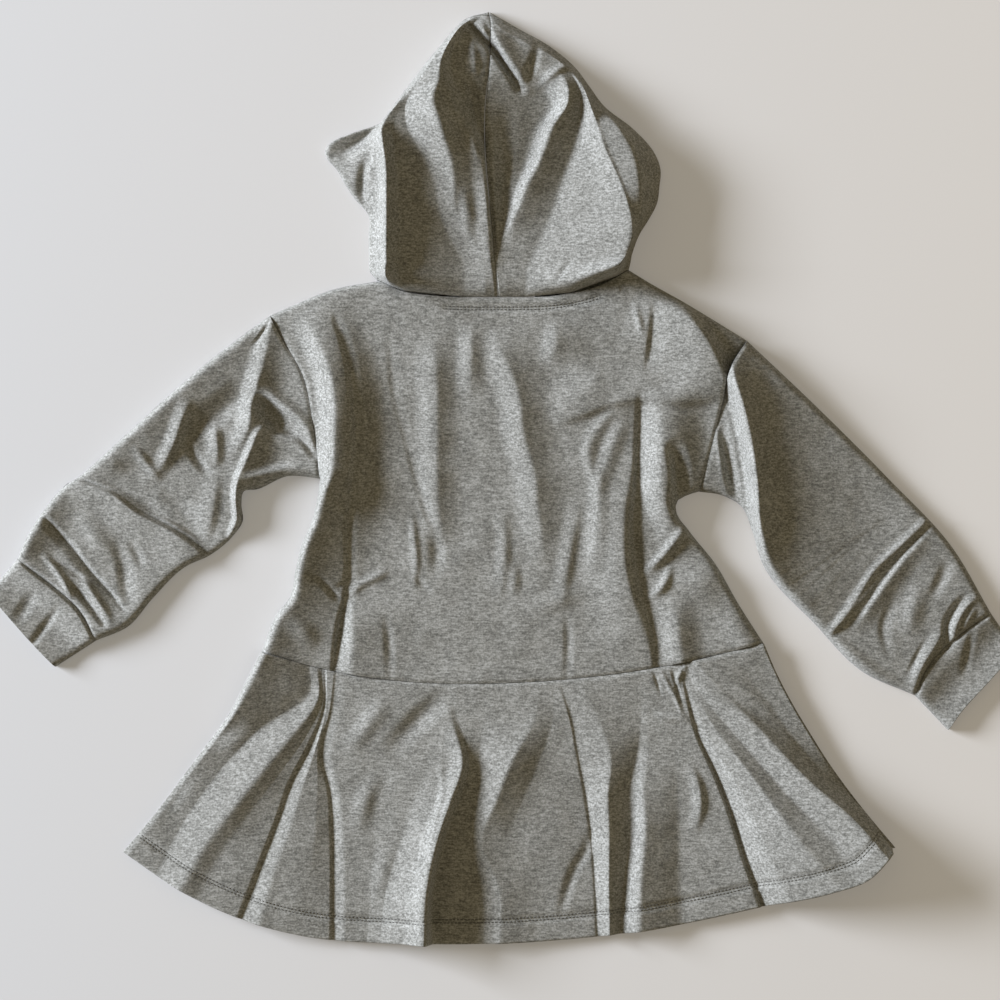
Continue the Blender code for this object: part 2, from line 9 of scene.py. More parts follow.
import bpy
import numpy as np
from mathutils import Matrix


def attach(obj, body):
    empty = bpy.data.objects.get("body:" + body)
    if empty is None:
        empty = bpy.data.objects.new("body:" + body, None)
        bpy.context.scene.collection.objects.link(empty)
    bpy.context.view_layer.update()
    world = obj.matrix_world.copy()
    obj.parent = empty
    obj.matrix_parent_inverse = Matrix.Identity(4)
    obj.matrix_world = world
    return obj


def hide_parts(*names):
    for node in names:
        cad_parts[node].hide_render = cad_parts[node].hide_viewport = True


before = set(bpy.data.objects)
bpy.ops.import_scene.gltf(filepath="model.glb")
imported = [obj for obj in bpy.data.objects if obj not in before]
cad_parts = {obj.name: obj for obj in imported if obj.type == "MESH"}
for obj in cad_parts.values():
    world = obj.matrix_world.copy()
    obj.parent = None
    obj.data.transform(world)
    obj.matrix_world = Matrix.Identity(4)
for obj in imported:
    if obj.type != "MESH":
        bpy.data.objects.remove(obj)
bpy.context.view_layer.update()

MM = 0.001

# --- Cloth ---

CLOTH = 1.4  # thickness of the jersey
CUFF_CLOTH = 2.2  # a cuff is two layers
INSET = 0.15  # each piece stops this far from the line of its seam
SEAM_GAP = 0.3  # least height between two layers
LEAST_CLOTH = 0.1  # least thickness where a layer is squeezed at its edge
UNDER_INSET = 1.0  # distance of the edge of a tube's underside inside that of its top
LIMIT = 2.2  # most that a slope may add to the upright thickness of a layer
EDGE_Z = 2.0  # height of the upper layer right at a side seam
LOFT = 6.5  # height that it gains well inside the outline
ROUND = 1.6  # distance over which it does so
ROLL = 1.8  # radius of the turned edge
FOLD_REACH = 1.7  # distance from the edge over which folds come to their full height
HEM_SINK = 0.40  # share of the loft that is lost at the hem
HEM_DROP = 0.8  # drop of the upper side at the turned edge of the hem
SLEEVE_LEFT_SINK = 0.6  # share of the loft that the left sleeve loses halfway down

# --- Mesh ---

STEP = 1.75  # size of the facets of the back bodice
SKIRT_STEP = 2.1  # size of those of the back skirt
FINE_STEP = 1.4  # size of those of sleeves, cuffs and hood
COARSE_STEP = 6.0  # size of those of the front, which nobody sees
CLOSE = (0.3, 0.6, 1.3, 1.65)  # extra rows next to an edge, in rows
UNDER_EVERY = 4  # a tube's underside has one column for so many of its top
HEM_CROWDING = 0.22  # share by which the skirt's rows are closer at the hem and wider at the waist
FLUTE_STEPS = 4  # fewest columns from one line of the flutes to the next
LINE_PLACES = 400  # straight pieces of a curve that is read at given x
SEAM_PLACES = 40  # straight pieces of a seam, of a free edge and of the hem, for distances to them
EDGE_PLACES = 30
HEM_PLACES = 60
SIDE_EVERY = 12  # a side edge of the skirt is taken from one row in so many
CUFF_ROWS = 29
EDGE_REACH = 45.0  # distance over which a free edge is felt

# --- Outline: the few points of each line, (x, y) ---

ARMHOLE_LEFT = [(-193, 155), (-182, 134), (-166, 106), (-157, 65), (-151, 18)]
ARMHOLE_RIGHT = [(207, 134), (193, 112), (186, 80), (176, 40), (167, 7)]
SHOULDER_LEFT = [(-193, 155), (-168, 166), (-143, 176), (-102, 184)]
SHOULDER_RIGHT = [(108, 193), (126, 182), (151, 168), (207, 134)]
NECK_BACK = [(-102, 184), (-84, 176), (-50, 171), (-3, 170), (50, 172), (84, 180), (108, 193)]
NECK_FRONT = [(-102, 184), (-84, 158), (-46, 134), (0, 126), (50, 136), (87, 161), (108, 193)]
SIDE_LEFT = [(-151, 18), (-153, 4), (-158, -18), (-166, -36), (-172, -60), (-176, -81), (-187, -95),
             (-200, -127)]
SIDE_RIGHT = [(167, 7), (157, 4), (148, -2), (148, -10), (158, -25), (181, -54), (200, -87), (221, -120)]
WAIST = [(-200, -127), (-142, -143), (-81, -152), (17, -153), (96, -146), (160, -135), (221, -120)]
HEM = [(-316, -295), (-272, -325), (-218, -351), (-168, -365), (-70, -372), (35, -370), (128, -360),
       (220, -341), (278, -327), (306, -316), (329, -292)]
SLEEVE_LEFT_TOP = [(-193, 155), (-222, 134), (-260, 104), (-300, 68), (-335, 36), (-353, 20), (-364, 13),
                   (-384, -10), (-400, -37), (-405, -49)]
SLEEVE_LEFT_UNDER = [(-151, 18), (-178, 20), (-204, 9), (-215, 7), (-217, -3), (-216, -18), (-224, -30),
                     (-243, -46), (-264, -56), (-291, -82), (-312, -106), (-339, -118)]
SLEEVE_RIGHT_TOP = [(207, 134), (265, 79), (326, 18), (379, -39), (412, -95)]
SLEEVE_RIGHT_UNDER = [(167, 7), (186, 4), (203, -6), (211, -24), (220, -53), (265, -105), (304, -144),
                      (348, -164)]
CUFF_LEFT_SEAM = [(-405, -49), (-391, -60), (-352, -94), (-339, -118)]
CUFF_LEFT_END = [(-429, -78), (-413, -97), (-386, -127), (-373, -140)]
CUFF_RIGHT_SEAM = [(412, -95), (391, -109), (359, -140), (348, -164)]
CUFF_RIGHT_END = [(433, -126), (412, -150), (385, -180), (376, -193)]
SKIRT_DEPTH = 210
FRONT_SKIRT_PROUD = 3  # the front skirt shows this far outside the back one along its right side

FREE_EDGES = [SHOULDER_LEFT, SHOULDER_RIGHT, SIDE_LEFT, SIDE_RIGHT, SLEEVE_LEFT_TOP, SLEEVE_LEFT_UNDER,
              SLEEVE_RIGHT_TOP, SLEEVE_RIGHT_UNDER, [CUFF_LEFT_SEAM[0], CUFF_LEFT_END[0]],
              [CUFF_LEFT_SEAM[-1], CUFF_LEFT_END[-1]], [CUFF_RIGHT_SEAM[0], CUFF_RIGHT_END[0]],
              [CUFF_RIGHT_SEAM[-1], CUFF_RIGHT_END[-1]]]
SEAMS = [ARMHOLE_LEFT, ARMHOLE_RIGHT, WAIST, CUFF_LEFT_SEAM, CUFF_RIGHT_SEAM, NECK_BACK]
SEAM_DIP = 1.0  # depth of the groove along a seam
SEAM_WIDTH = 1.8

# --- Flutes of the skirt ---

LEVELS = [0.0, 0.15, 0.30, 0.45, 0.60, 0.80, 1.0]  # shares of the way from waist to hem
FLUTES = [
    # name, x at each level, rise at each level
    ("left edge", (-200, -213, -226, -244, -263, -288, -316), (0, 0, 0, 0, 0, 0, 0)),
    ("left crest", (-197, -210, -223, -241, -260, -285, -312), (11, 12, 9, 4, 2, 1.5, 1.5)),
    ("left valley", (-160, -162, -200, -226, -247, -270, -288), (0, 0, 0, 0, 0, 0, 0.5)),
    ("ridge a", (-153, -153, -174, -197, -219, -247, -268), (0, 2, 5.5, 7.5, 8, 7, 6)),
    ("drop a", (-149.5, -149.5, -164, -185, -207, -234, -255), (-1, 0, 2, 3.5, 4, 3.5, 3)),
    ("lip b", (-148, -148.5, -161, -177, -188, -204, -220), (-1, 0, 1.5, 1.5, 1.5, 1.5, 1.5)),
    ("foot b", (-146.5, -147, -158.5, -174.5, -185.5, -201.5, -217.5), (-1, -1, -1, -1.2, -0.9, -0.9, -0.9)),
    ("crest b", (-145, -145.5, -154, -165, -175, -190, -203), (0, 0, 1.5, 2.5, 3, 3.5, 4)),
    ("back b", (-143, -144.5, -152.5, -153, -155, -160, -168), (0, 0, 1, 1.5, 2, 1.5, 1)),
    ("lip c", (-139, -143, -151.5, -144.5, -142.5, -142, -142), (0, 0, 0, -0.5, -0.5, -0.5, -0.5)),
    ("foot c", (-137, -141, -149.5, -142.5, -140.5, -140, -140), (-0.5, -1, -1.6, -2.3, -2.5, -2.5, -2.5)),
    ("crest c", (-130, -134, -142, -135, -132, -131, -131), (0, 0, 0.3, 0.5, 0.5, 0.5, 0.5)),
    ("plain c", (-100, -101, -103, -105, -105, -108, -112), (0, 0.5, 0.5, 0, 0, 0, 0)),
    ("slope d", (-64, -60, -60, -72, -82, -95, -100), (0, 0.5, 1.5, 1.5, 1.5, 1.5, 2)),
    ("middle d", (-56, -50, -42, -54, -65, -77, -80), (0, 1, 3, 5.5, 7.5, 9.5, 9.5)),
    ("crest d", (-48, -40, -31, -41, -52, -60.5, -62.5), (0, 1.5, 8, 12.5, 18.5, 22.5, 23)),
    ("foot d", (-44, -35, -26, -34, -46, -55, -56.5), (0, 0, 1.5, 1.5, 1, 1, 1)),
    ("trough e", (-10, -14, -18, -26, -36, -16, -14), (0, 0, 0, 0, -0.5, -0.5, -0.5)),
    ("crest e", (34, 28, 10, -3, -15, 0, 0), (0, 2, 7, 7, 3.5, 3.5, 4)),
    ("foot e", (44, 44, 33, 20, 8, 24, 30), (0, 0, 0.5, 1, 1.2, 1.2, 1.2)),
    ("lip f", (48, 58, 64, 70, 74.5, 78, 80), (0, 0, -1, -2, -2.2, -2, -1)),
    ("foot f", (50, 60, 66, 72, 76.5, 80, 82), (0, -1, -2, -3.2, -3.4, -2.8, -2)),
    ("crest f", (66, 81, 92, 90, 91, 91, 92), (0, 2, 4, 5, 5.5, 5.5, 4)),
    ("foot g", (118, 118, 116, 109.5, 110, 104.5, 100.5), (0, -0.5, -1.5, -2.5, -3, -3, -3)),
    ("crest g", (124, 124, 124, 120, 121, 117, 116), (0, 0, 0, 2.5, 6, 8, 8)),
    ("plain g", (142, 144, 146, 148, 150, 150, 152), (0, 0.5, 0.5, 0, 0, 0, 0)),
    ("lip h", (150, 156, 164, 178, 190, 203, 218), (0, 0.5, 1, 1.5, 1.5, 1.5, 1.5)),
    ("foot h", (152, 158, 166, 180, 192, 205, 220), (0, -1, -1.6, -2.4, -2.8, -2.8, -2.8)),
    ("slope h", (154, 162, 173, 191, 207, 224, 242), (0, 0.5, 3, 7.5, 11.5, 14, 12.5)),
    ("crest h", (156, 165, 181, 203, 224, 252, 284), (0, 1, 5, 11.5, 18.5, 26, 27.5)),
    ("valley i", (158, 169, 192, 216, 240, 275, 299), (1, 1.5, 3, 7, 12.5, 22, 30)),
    ("crest i", (163, 184, 209, 232, 256, 294, 323), (3, 6, 9, 13, 18.5, 27, 34)),
    ("slope i", (195, 212, 230, 248, 270, 305, 327), (0, 0.5, 1, 2, 4, 10, 29)),
    ("right edge", (221, 232, 245, 260, 276, 301, 329), (0, 0, 0, 0, 0, 0, 0)),
]

# --- Folds of the upper side ---
# A fold runs along a smooth line through its places (x, y, rise), and a place without a rise has 0. It has a
# width to the right hand and to the left hand of somebody who walks along it. Each side is soft at
# crispness 0 and sharp at 10.

BODICE_FOLDS = [
    # name, right-hand width and crispness, left-hand width and crispness, places
    ("left packing rise", 18, 2, 42, 3, [(-164, 160), (-156, 142, 6), (-148, 124, 11), (-141, 105, 14),
        (-138, 85, 15.5), (-138, 50, 16), (-140, 24, 16), (-144, 8, 9), (-149, -8)]),
    ("left side rise", 18, 2, 58, 10, [(-139, 32), (-142, 16, 7), (-148, 5, 14), (-157, -20, 16),
        (-165, -45, 15), (-173, -70, 13), (-184, -95, 10), (-195, -120, 9), (-204, -142, 9)]),
    ("left packing crease", 4, 6, 9, 4, [(-138, 150, -1), (-133, 138, -1.8), (-126, 112, -2), (-122, 85, -2),
        (-121, 45, -2), (-124, 12, -1.6), (-127, -25, -1.6), (-127, -60, -2), (-129, -82, -3),
        (-133, -100, -4), (-137, -125, -4), (-139, -143, -2)]),
    ("left branch", 5, 5, 6, 5, [(-128, -80, 0.5), (-115, -70, 2), (-100, -63, 1.6), (-93, -60)]),
    ("left branch trough", 5, 5, 5, 5, [(-163, -61), (-148, -69, -2), (-138, -80, -2.4), (-131, -87)]),
    ("left short trough", 4, 5, 4, 5, [(-143, -72), (-134, -73, -1.4), (-128, -66)]),
    ("left side patch", 14, 1, 12, 1, [(-180, -100), (-164, -110, 2.4), (-152, -122)]),
    ("left fine crease", 5, 5, 9, 5, [(-93, 142), (-91, 112, -0.7), (-87, 80, -0.7), (-80, 56, -0.6),
        (-73, 30, -0.8), (-67, 8, -0.9), (-60, -14, -1.4), (-52, -30)]),
    ("back ridge left", 20, 1, 23, 8.5, [(-55, 142), (-54, 118, 2.6), (-53, 90, 3.8), (-53, 55, 3.6),
        (-53, 20, 3.6), (-52, -6, 3.2), (-49, -36)]),
    ("back wave left", 14, 2, 16, 6, [(-24, 150), (-24, 130, 3), (-25, 104, 2.6), (-24, 82)]),
    ("back mark", 6, 3, 5, 5, [(-74, -8), (-72, -30, 1.4), (-70, -52, 1.2), (-73, -78)]),
    ("back arc", 5, 5, 5, 5, [(-72, -62), (-65, -71, -1), (-58, -77)]),
    ("back dark", 9, 2, 9, 2, [(-58, -22), (-53, -42, -1.8), (-55, -66)]),
    ("back ridge right", 21, 3, 32, 8.5, [(-6, 142), (3, 120, 4), (12, 100, 5.4), (17, 78, 5.4),
        (19, 57, 5.4), (25, 36, 5), (29, 20, 5), (31, -5, 4.4), (35, -30, 3.2), (38, -54)]),
    ("back small wave", 10, 2, 8, 3, [(2, -8), (4, -36, 1.6), (3, -62, 1.4), (0, -84)]),
    ("back low wave", 8, 2, 8, 3, [(10, -50), (12, -66, 1.6), (10, -84)]),
    ("yoke wave high", 14, 1, 38, 7, [(49, 154), (47, 132, 4), (41, 110)]),
    ("yoke wave low", 30, 2, 26, 3, [(86, 118), (78, 100, 2.6), (60, 82, 2.2), (42, 66)]),
    ("right arch", 9, 3, 11, 2, [(118, 82, 1), (98, 76, 1.6), (82, 60, 1.7), (74, 42, 1.8), (78, 22, 1.5),
        (84, 4)]),
    ("right cross ridge", 34, 1, 8, 3, [(187, 90), (168, 85, 3), (144, 84, 4.4), (120, 87, 4.4),
        (100, 84, 4), (80, 77, 3), (60, 70, 1.6), (44, 64)]),
    ("right fine ridge", 10, 3, 12, 2, [(108, 78), (98, 56, 1.8), (90, 34, 2.2), (83, 12, 2.2), (82, -12, 2),
        (80, -40, 1.6), (76, -66)]),
    ("right long ridge", 12, 2, 8, 3, [(66, 4), (62, -24, 1.6), (58, -46, 2), (54, -70, 1.6), (50, -90)]),
    ("before right crease", 42, 1, 12, 3, [(112, 40), (107, 16, 2), (104, -5, 4.4), (103, -28, 5.6),
        (104, -52, 6), (109, -78, 5), (116, -100, 3.4), (122, -122, 1.6), (126, -142)]),
    ("right packing crease", 5, 3, 15, 10, [(118, 94), (117.5, 78, -2), (116.5, 57, -2.8), (115.5, 30, -3),
        (114, 5, -3.2), (112.5, -20, -3.6), (115, -45, -3), (118, -65, -2.6), (122, -84, -2.4),
        (127, -104, -2.4), (131, -125, -2.4), (132, -143, -1.6)]),
    ("right raised band", 20, 0, 40, 1, [(130, 94), (135, 76, 5), (137, 55, 9), (136, 30, 11),
        (136, 8, 11.5), (140, -8, 8.5), (146, -24, 4), (150, -42)]),
    ("right underarm hollow", 9, 3, 13, 3, [(141, 50), (146, 38, -5), (149, 22, -8), (149, 8, -7),
        (147, -2, -3)]),
    ("right slant high", 8, 5, 6, 5, [(116, -64), (133, -50, 4), (145, -36, 4.4), (157, -20)]),
    ("right slant low", 6, 5, 5, 5, [(122, -84), (136, -72, 3.2), (144, -52)]),
    ("right side swell", 30, 4, 22, 2, [(124, -78), (144, -72, 2), (166, -68, 4), (190, -72, 2)]),
    ("right waist ridge", 16, 3, 22, 5, [(143, -82), (148, -98, 3.4), (150, -120, 4.8), (154, -142, 3.4)]),
    ("right low ridge", 18, 2, 12, 2, [(190, -92), (200, -110, 2), (212, -126, 1.4)]),
    ("low left swell", 10, 1, 52, 5, [(-126, -84), (-122, -108, 3.4), (-124, -142, 2.6)]),
    ("low left crease", 6, 2, 6, 3, [(-96, -94), (-93, -118, -1.2), (-92, -146, -0.4)]),
    ("low middle crease", 5, 2, 6, 3, [(56, -94), (57, -120, -1.2), (56, -148, -0.4)]),
    ("low cross swell", 14, 1, 12, 1, [(20, -94), (48, -84, 1.6), (80, -74)]),
    ("right shoulder ridge", 54, 3, 13, 2, [(112, 172, 2), (136, 163, 7), (154, 155, 11), (167, 141, 13),
        (178, 124, 12), (186, 104, 8), (189, 86, 3.5), (186, 66)]),
    ("right shoulder edge", 4, 5, 14, 8, [(129, 170), (128, 150, -2), (126, 130, -2), (122, 104)]),
    ("right shoulder streak", 4, 4, 5, 4, [(112, 166), (116, 150, 1.8), (120, 136)]),
]
SLEEVE_LEFT_FOLDS = [
    ("shoulder slit", 3, 7, 3, 7, [(-193, 150, -1), (-199, 140, -3), (-208, 128)]),
    ("outer slope", 3, 4, 50, 5, [(-207.5, 142), (-227.5, 129, 4), (-263.5, 100, 8), (-301.5, 64, 8),
        (-331.5, 36, 5), (-351, 18)]),
    ("head ridge", 14, 4, 24, 9, [(-191, 158, 2), (-194, 135, 4), (-199, 112, 5.5), (-204, 94, 8),
        (-208, 76, 8.5), (-211, 60, 6), (-220, 44, 3), (-230, 32)]),
    ("head lower edge", 7, 4, 9, 5, [(-204, 95, 1), (-192, 88, 3), (-178, 78, 3), (-164, 64, 2.4),
        (-156, 46, 1)]),
    ("underarm hollow", 12, 2, 14, 2, [(-204, 88, -4), (-195, 74, -10), (-187, 66, -10), (-178, 60, -4)]),
    ("underarm crease", 5, 5, 5, 5, [(-198, 57), (-184, 57, -2.6), (-166, 50, -3.4), (-156, 38, -2)]),
    ("roll edge", 6, 5, 26, 8, [(-195, 63), (-202, 57, 3.4), (-207, 46, 7), (-214, 30, 8.5), (-219, 18, 8.5),
        (-221, 0, 8.5), (-220, -16, 7.5), (-225, -30, 3)]),
    ("lower roll", 8, 3, 8, 3, [(-152, 24, 1), (-180, 26, 3), (-204, 20, 3.4), (-217, 17, 1)]),
    ("head slant", 18, 3, 14, 4, [(-206, 96), (-222, 84, -3), (-240, 71, -3.6), (-256, 58, -2.6),
        (-262, 48)]),
    ("middle ridge", 11, 3, 9, 6, [(-259, 86), (-265, 70, 3.4), (-272, 50, 4.4), (-280, 34, 3),
        (-291, 18)]),
    ("middle crease", 7, 5, 6, 5, [(-266, 55), (-258, 39, -3.4), (-250, 29, -3), (-242, 20)]),
    ("inner ridge", 12, 3, 8, 5, [(-241, 68), (-238, 52, 3), (-237, 38, 2.6), (-240, 26)]),
    ("inner swell", 14, 2, 8, 3, [(-236, 28), (-239, 8, 1.6), (-243, -18, 1.8), (-250, -38)]),
    ("upper wrinkle", 7, 3, 6, 3, [(-308, 46), (-297, 32, 2.4), (-284, 15)]),
    ("elbow edge", 26, 2, 4.5, 3, [(-358, 16, 1.5), (-341, 10, 3), (-325, 4, 4), (-304, -12, 5),
        (-281, -24, 5), (-259, -38, 4), (-246, -49, 2)]),
    ("elbow line", 2.5, 6, 3, 6, [(-355, 19, -1.5), (-340, 13, -2), (-324, 7, -2.2), (-303, -9, -2.4),
        (-280, -20.5, -2.4), (-258, -34, -2.4), (-243, -47, -2)]),
    ("elbow shade", 5, 4, 20, 3, [(-350, 24), (-322, 11, -2.4), (-301, -4, -3), (-277, -16, -3),
        (-254, -30, -2.4), (-243, -42)]),
    ("under edge", 44, 2, 6, 2, [(-242, -43, 1.4), (-262, -54, 2.6), (-290, -80, 2.8), (-312, -104, 2),
        (-337, -116, 1)]),
    ("middle patch", 13, 1, 12, 1, [(-286, 4), (-268, -4, -2.6), (-250, -12)]),
    ("middle high patch", 12, 1, 12, 1, [(-324, 30), (-308, 25, -2), (-292, 20)]),
    ("middle low swell", 10, 1, 14, 2, [(-296, -6), (-278, -16, 2), (-262, -30)]),
    ("forearm wave", 12, 1, 14, 2, [(-354, -8), (-340, -28, 2), (-324, -48)]),
    ("wrist swell", 6, 2, 30, 7, [(-364, 13), (-379, -4, 4), (-392, -22, 6.5), (-402, -42, 6),
        (-407, -52, 2)]),
    ("forearm crease", 9, 4, 5, 5, [(-386, -8, -1), (-372, -26, -2.6), (-358, -42, -3.2), (-344, -60, -3),
        (-328, -77, -2.6), (-311, -98)]),
    ("forearm line", 2.5, 6, 2.5, 6, [(-384, -12, -1), (-370, -28, -2), (-356, -44, -2), (-342, -62, -2),
        (-327, -78, -2), (-312, -97)]),
    ("forearm hollow", 9, 3, 12, 4, [(-324, -30), (-317, -50, -2), (-313, -74, -2.2), (-310, -94)]),
    ("forearm spot", 7, 2, 7, 2, [(-312, -34), (-304, -46, -2), (-298, -58)]),
    ("gather a", 5, 5, 5, 5, [(-384, -44), (-373, -57, 3), (-364, -70, 3), (-358, -84)]),
    ("gather b", 4, 5, 4, 5, [(-378, -50), (-364, -57, -2), (-352, -64, -2), (-344, -70)]),
    ("gather c", 4, 6, 5, 6, [(-362, -68), (-354, -77, -3.6), (-344, -89, -4), (-332, -104, -2)]),
    ("gather d", 6, 5, 5, 5, [(-352, -62), (-343, -76, 3), (-333, -90, 3), (-324, -104)]),
    ("cuff pressed flat", 30, 0, 22, 0, [(-420, -60, -3.5), (-388, -94, -3.5), (-353, -132, -3.5)]),
    ("cuff seam", 3, 6, 3, 6, [(-405, -49, -0.5), (-391, -60, -2), (-372, -75, -2.4), (-352, -94, -2.4),
        (-339, -118, -1)]),
    ("cuff crease", 6, 6, 5, 6, [(-370, -90, -0.6), (-380, -104, -1.8), (-392, -121, -1.4)]),
    ("cuff hollow", 9, 2, 9, 2, [(-388, -74), (-398, -90, -2), (-408, -104)]),
]
SLEEVE_RIGHT_FOLDS = [
    ("head ridge", 7, 2, 32, 9.5, [(189, 120), (194, 103, 3.5), (203, 78, 6.5), (210, 46, 8), (214.5, 14, 8),
        (216.5, -20, 8), (221, -47, 6), (229, -66, 3.5), (241, -81, 1)]),
    ("big facet", 9, 1, 125, 9, [(196, 134, 6), (191.5, 118, 9), (193, 104, 11), (199, 84, 12),
        (205, 58, 13), (211, 28, 13.5), (215, -8, 13.5), (220, -44, 12), (234, -76, 9), (252, -96, 6),
        (272, -114, 1)]),
    ("top facet", 5, 3, 32, 6, [(200, 134, 3), (193, 120, 5.5), (195, 104, 6), (201, 84, 4), (207, 58)]),
    ("head hollow", 8, 2, 8, 2, [(184, 84), (188, 52, -2.4), (194, 18, -4), (199, -2, -2)]),
    ("head streak", 4, 5, 5, 5, [(179, 66), (184, 40, 1), (188, 14)]),
    ("elbow ridge", 6, 3, 5, 5, [(362, -12, 1), (346, -28, 2.2), (330, -43, 2.4), (316, -56, 2.4),
        (302, -76, 2.4), (288, -96, 2.2), (276, -113, 1)]),
    ("elbow crease", 4, 5, 4, 5, [(362, -20, -1.2), (345, -36, -1.6), (331, -52, -1.6), (316, -72, -1.4),
        (300, -98)]),
    ("elbow second ridge", 5, 3, 14, 5, [(362, -26), (342, -46, 2.6), (326, -66, 3), (308, -92, 2.6),
        (294, -112)]),
    ("elbow third ridge", 6, 3, 6, 5, [(316, -66), (300, -86, 2), (284, -104, 2), (272, -112)]),
    ("forearm crease", 6, 4, 9, 4, [(333, -80), (321, -106, -1.5), (328, -136)]),
    ("forearm patch", 8, 2, 8, 2, [(376, -50), (369, -68, -2), (360, -84)]),
    ("forearm swell", 12, 2, 14, 3, [(352, -68), (346, -92, 2.4), (342, -116)]),
    ("wrist crease", 6, 6, 5, 6, [(393, -78), (382, -90, -3), (375, -103, -3.6), (374, -123, -2.6)]),
    ("wrist ridge", 5, 4, 6, 5, [(402, -78), (390, -90, 2.6), (382, -104, 3.4), (379, -120)]),
    ("wrist second ridge", 4, 5, 4, 5, [(400, -88), (393, -98, 1.8), (387, -110)]),
    ("gather a", 10, 3, 5, 5, [(374, -104), (364, -122, 3), (353, -140, 3.4), (346, -158, 1)]),
    ("gather b", 4, 5, 5, 5, [(358, -116), (348, -134, -1.6), (341, -150)]),
    ("lower swell", 12, 2, 10, 2, [(272, -108), (292, -128, 2), (318, -148, 2), (340, -160)]),
    ("cuff pressed flat", 22, 0, 30, 0, [(430, -98, -3.5), (393, -145, -3.5), (358, -182, -3.5)]),
    ("cuff seam", 3, 6, 3, 6, [(412, -95, -0.5), (391, -109, -2), (375, -124, -2.2), (359, -140, -2.2),
        (348, -164, -1)]),
    ("cuff crease", 6, 5, 6, 5, [(396, -108, -0.6), (392, -128, -1.6), (388, -150)]),
]
SKIRT_FOLDS = [
    ("ridge d highlight", 4, 6, 4, 6, [(-51, -214), (-48, -240, 1), (-56, -276, 1), (-64, -316, 1),
        (-69, -374, 1)]),
    ("plain d trough", 13, 1, 13, 1, [(-38, -158), (-68, -184, -3.2), (-96, -214)]),
    ("plain d swell", 12, 1, 12, 1, [(-92, -166), (-112, -190, 2.2), (-130, -214)]),
    ("plain c wave", 12, 1, 12, 2, [(-100, -226), (-112, -250, 2), (-120, -282)]),
    ("plain c low wave", 12, 1, 12, 2, [(-92, -286), (-98, -312, 1.4), (-108, -344)]),
    ("left patch", 14, 1, 14, 1, [(-212, -186), (-234, -196, -2.4), (-252, -206)]),
    ("left patch low", 10, 1, 10, 1, [(-262, -228), (-272, -248, -1.2), (-284, -262)]),
    ("valley f curl", 7, 4, 7, 4, [(76, -276), (73, -292, -1.6), (63, -309, -1.8), (56, -328, -1.4),
        (50, -350)]),
    ("streak g", 10, 3, 6, 4, [(158, -222), (166, -238, 2.6), (168, -256, 2.6), (163, -280)]),
    ("pucker a", 2.5, 5, 3, 5, [(128, -143), (131, -151, -1.3), (136, -166)]),
    ("pucker b", 2.5, 5, 3, 5, [(134, -142), (139, -152, 1.4), (147, -166, 1), (153, -182)]),
    ("pucker c", 3, 5, 3, 5, [(144, -141), (147, -152, -1.6), (151, -166, -1), (156, -178)]),
    ("pucker d", 4, 5, 4, 5, [(158, -136), (150, -147, 2), (146, -158)]),
    ("waist shade", 9, 2, 14, 2, [(160, -138), (186, -160, -2.2), (214, -180, -1.8), (242, -202)]),
    ("overlap top", 5, 6, 6, 6, [(128, -179), (140, -182, 1.8), (152, -184, 2.2), (162, -190, 1.4),
        (170, -197)]),
]
HOOD_FOLDS = [
    ("second ridge", 9, 5, 8, 6, [(-49, 364), (-46, 352, 1.8), (-36, 331, 3), (-27, 310, 3), (-16, 290, 2),
        (-11, 280)]),
    ("left flap edge", 14, 3, 3, 6, [(-27, 328), (-19, 312, 2), (-14.5, 295, 3.4), (-12, 275, 3.8),
        (-9.5, 245, 3.6), (-7.5, 218, 2.2), (-6, 198)]),
    ("right flap hollow", 12, 2, 12, 2, [(6, 334), (4, 308, -3), (3, 280, -4), (2, 252, -4), (0, 228, -2.6),
        (-1, 204)]),
    ("streak left low", 8, 1, 9, 1, [(-30, 262), (-28, 242, 1.8), (-26, 220)]),
    ("crown stripe a", 4, 5, 4, 5, [(-35, 392), (-34, 368, 1.8), (-33, 346)]),
    ("crown stripe b", 5, 4, 4, 4, [(-24, 388), (-21, 368, 1.8), (-20, 348)]),
    ("seam hollow", 8, 2, 8, 2, [(-25, 356), (-22, 336, -4.5), (-18, 316, -5), (-15, 298, -3.5),
        (-13, 284)]),
    ("seam groove", 3.5, 5, 3, 5, [(-4, 196), (-5, 218, -3), (-7.5, 245, -3.4), (-10, 272, -3.4),
        (-12, 292, -2.4), (-13, 314)]),
    ("left lobe crease", 7, 5, 6, 5, [(-99, 318), (-108, 308, -1.5), (-120, 297, -1.8), (-131, 287)]),
    ("left lobe hollow", 7, 3, 6, 3, [(-106, 294), (-114, 276, -5), (-116, 258, -5), (-115, 246, -2)]),
    ("right hook", 5, 5, 6, 5, [(30, 342), (40, 352, 2.2), (52, 361, 2.2), (60, 364)]),
    ("crown crease", 6, 5, 7, 5, [(20, 342), (27, 362, -2.6), (33, 384)]),
    ("crown slit", 6, 4, 5, 5, [(-31, 404), (-18, 390, -7), (-6, 378, -10), (3, 366, -10), (14, 350, -7),
        (20, 338)]),
    ("crown flap", 4, 4, 16, 3, [(-10, 404), (-2, 384, 4), (9, 362, 4.5), (19, 345, 2), (23, 336)]),
    ("crown light", 6, 3, 6, 3, [(-16, 404), (-14, 392, 2.2), (-9, 380)]),
    ("right low crease", 4, 5, 5, 5, [(44, 178), (52, 190, -1.3), (64, 206)]),
]
SHARP = 10  # crispness of a sharp fold
CREST_ROUND = 1.0  # radius at its crest
PATH_STEPS = 20  # straight pieces that the line of a fold is taken as

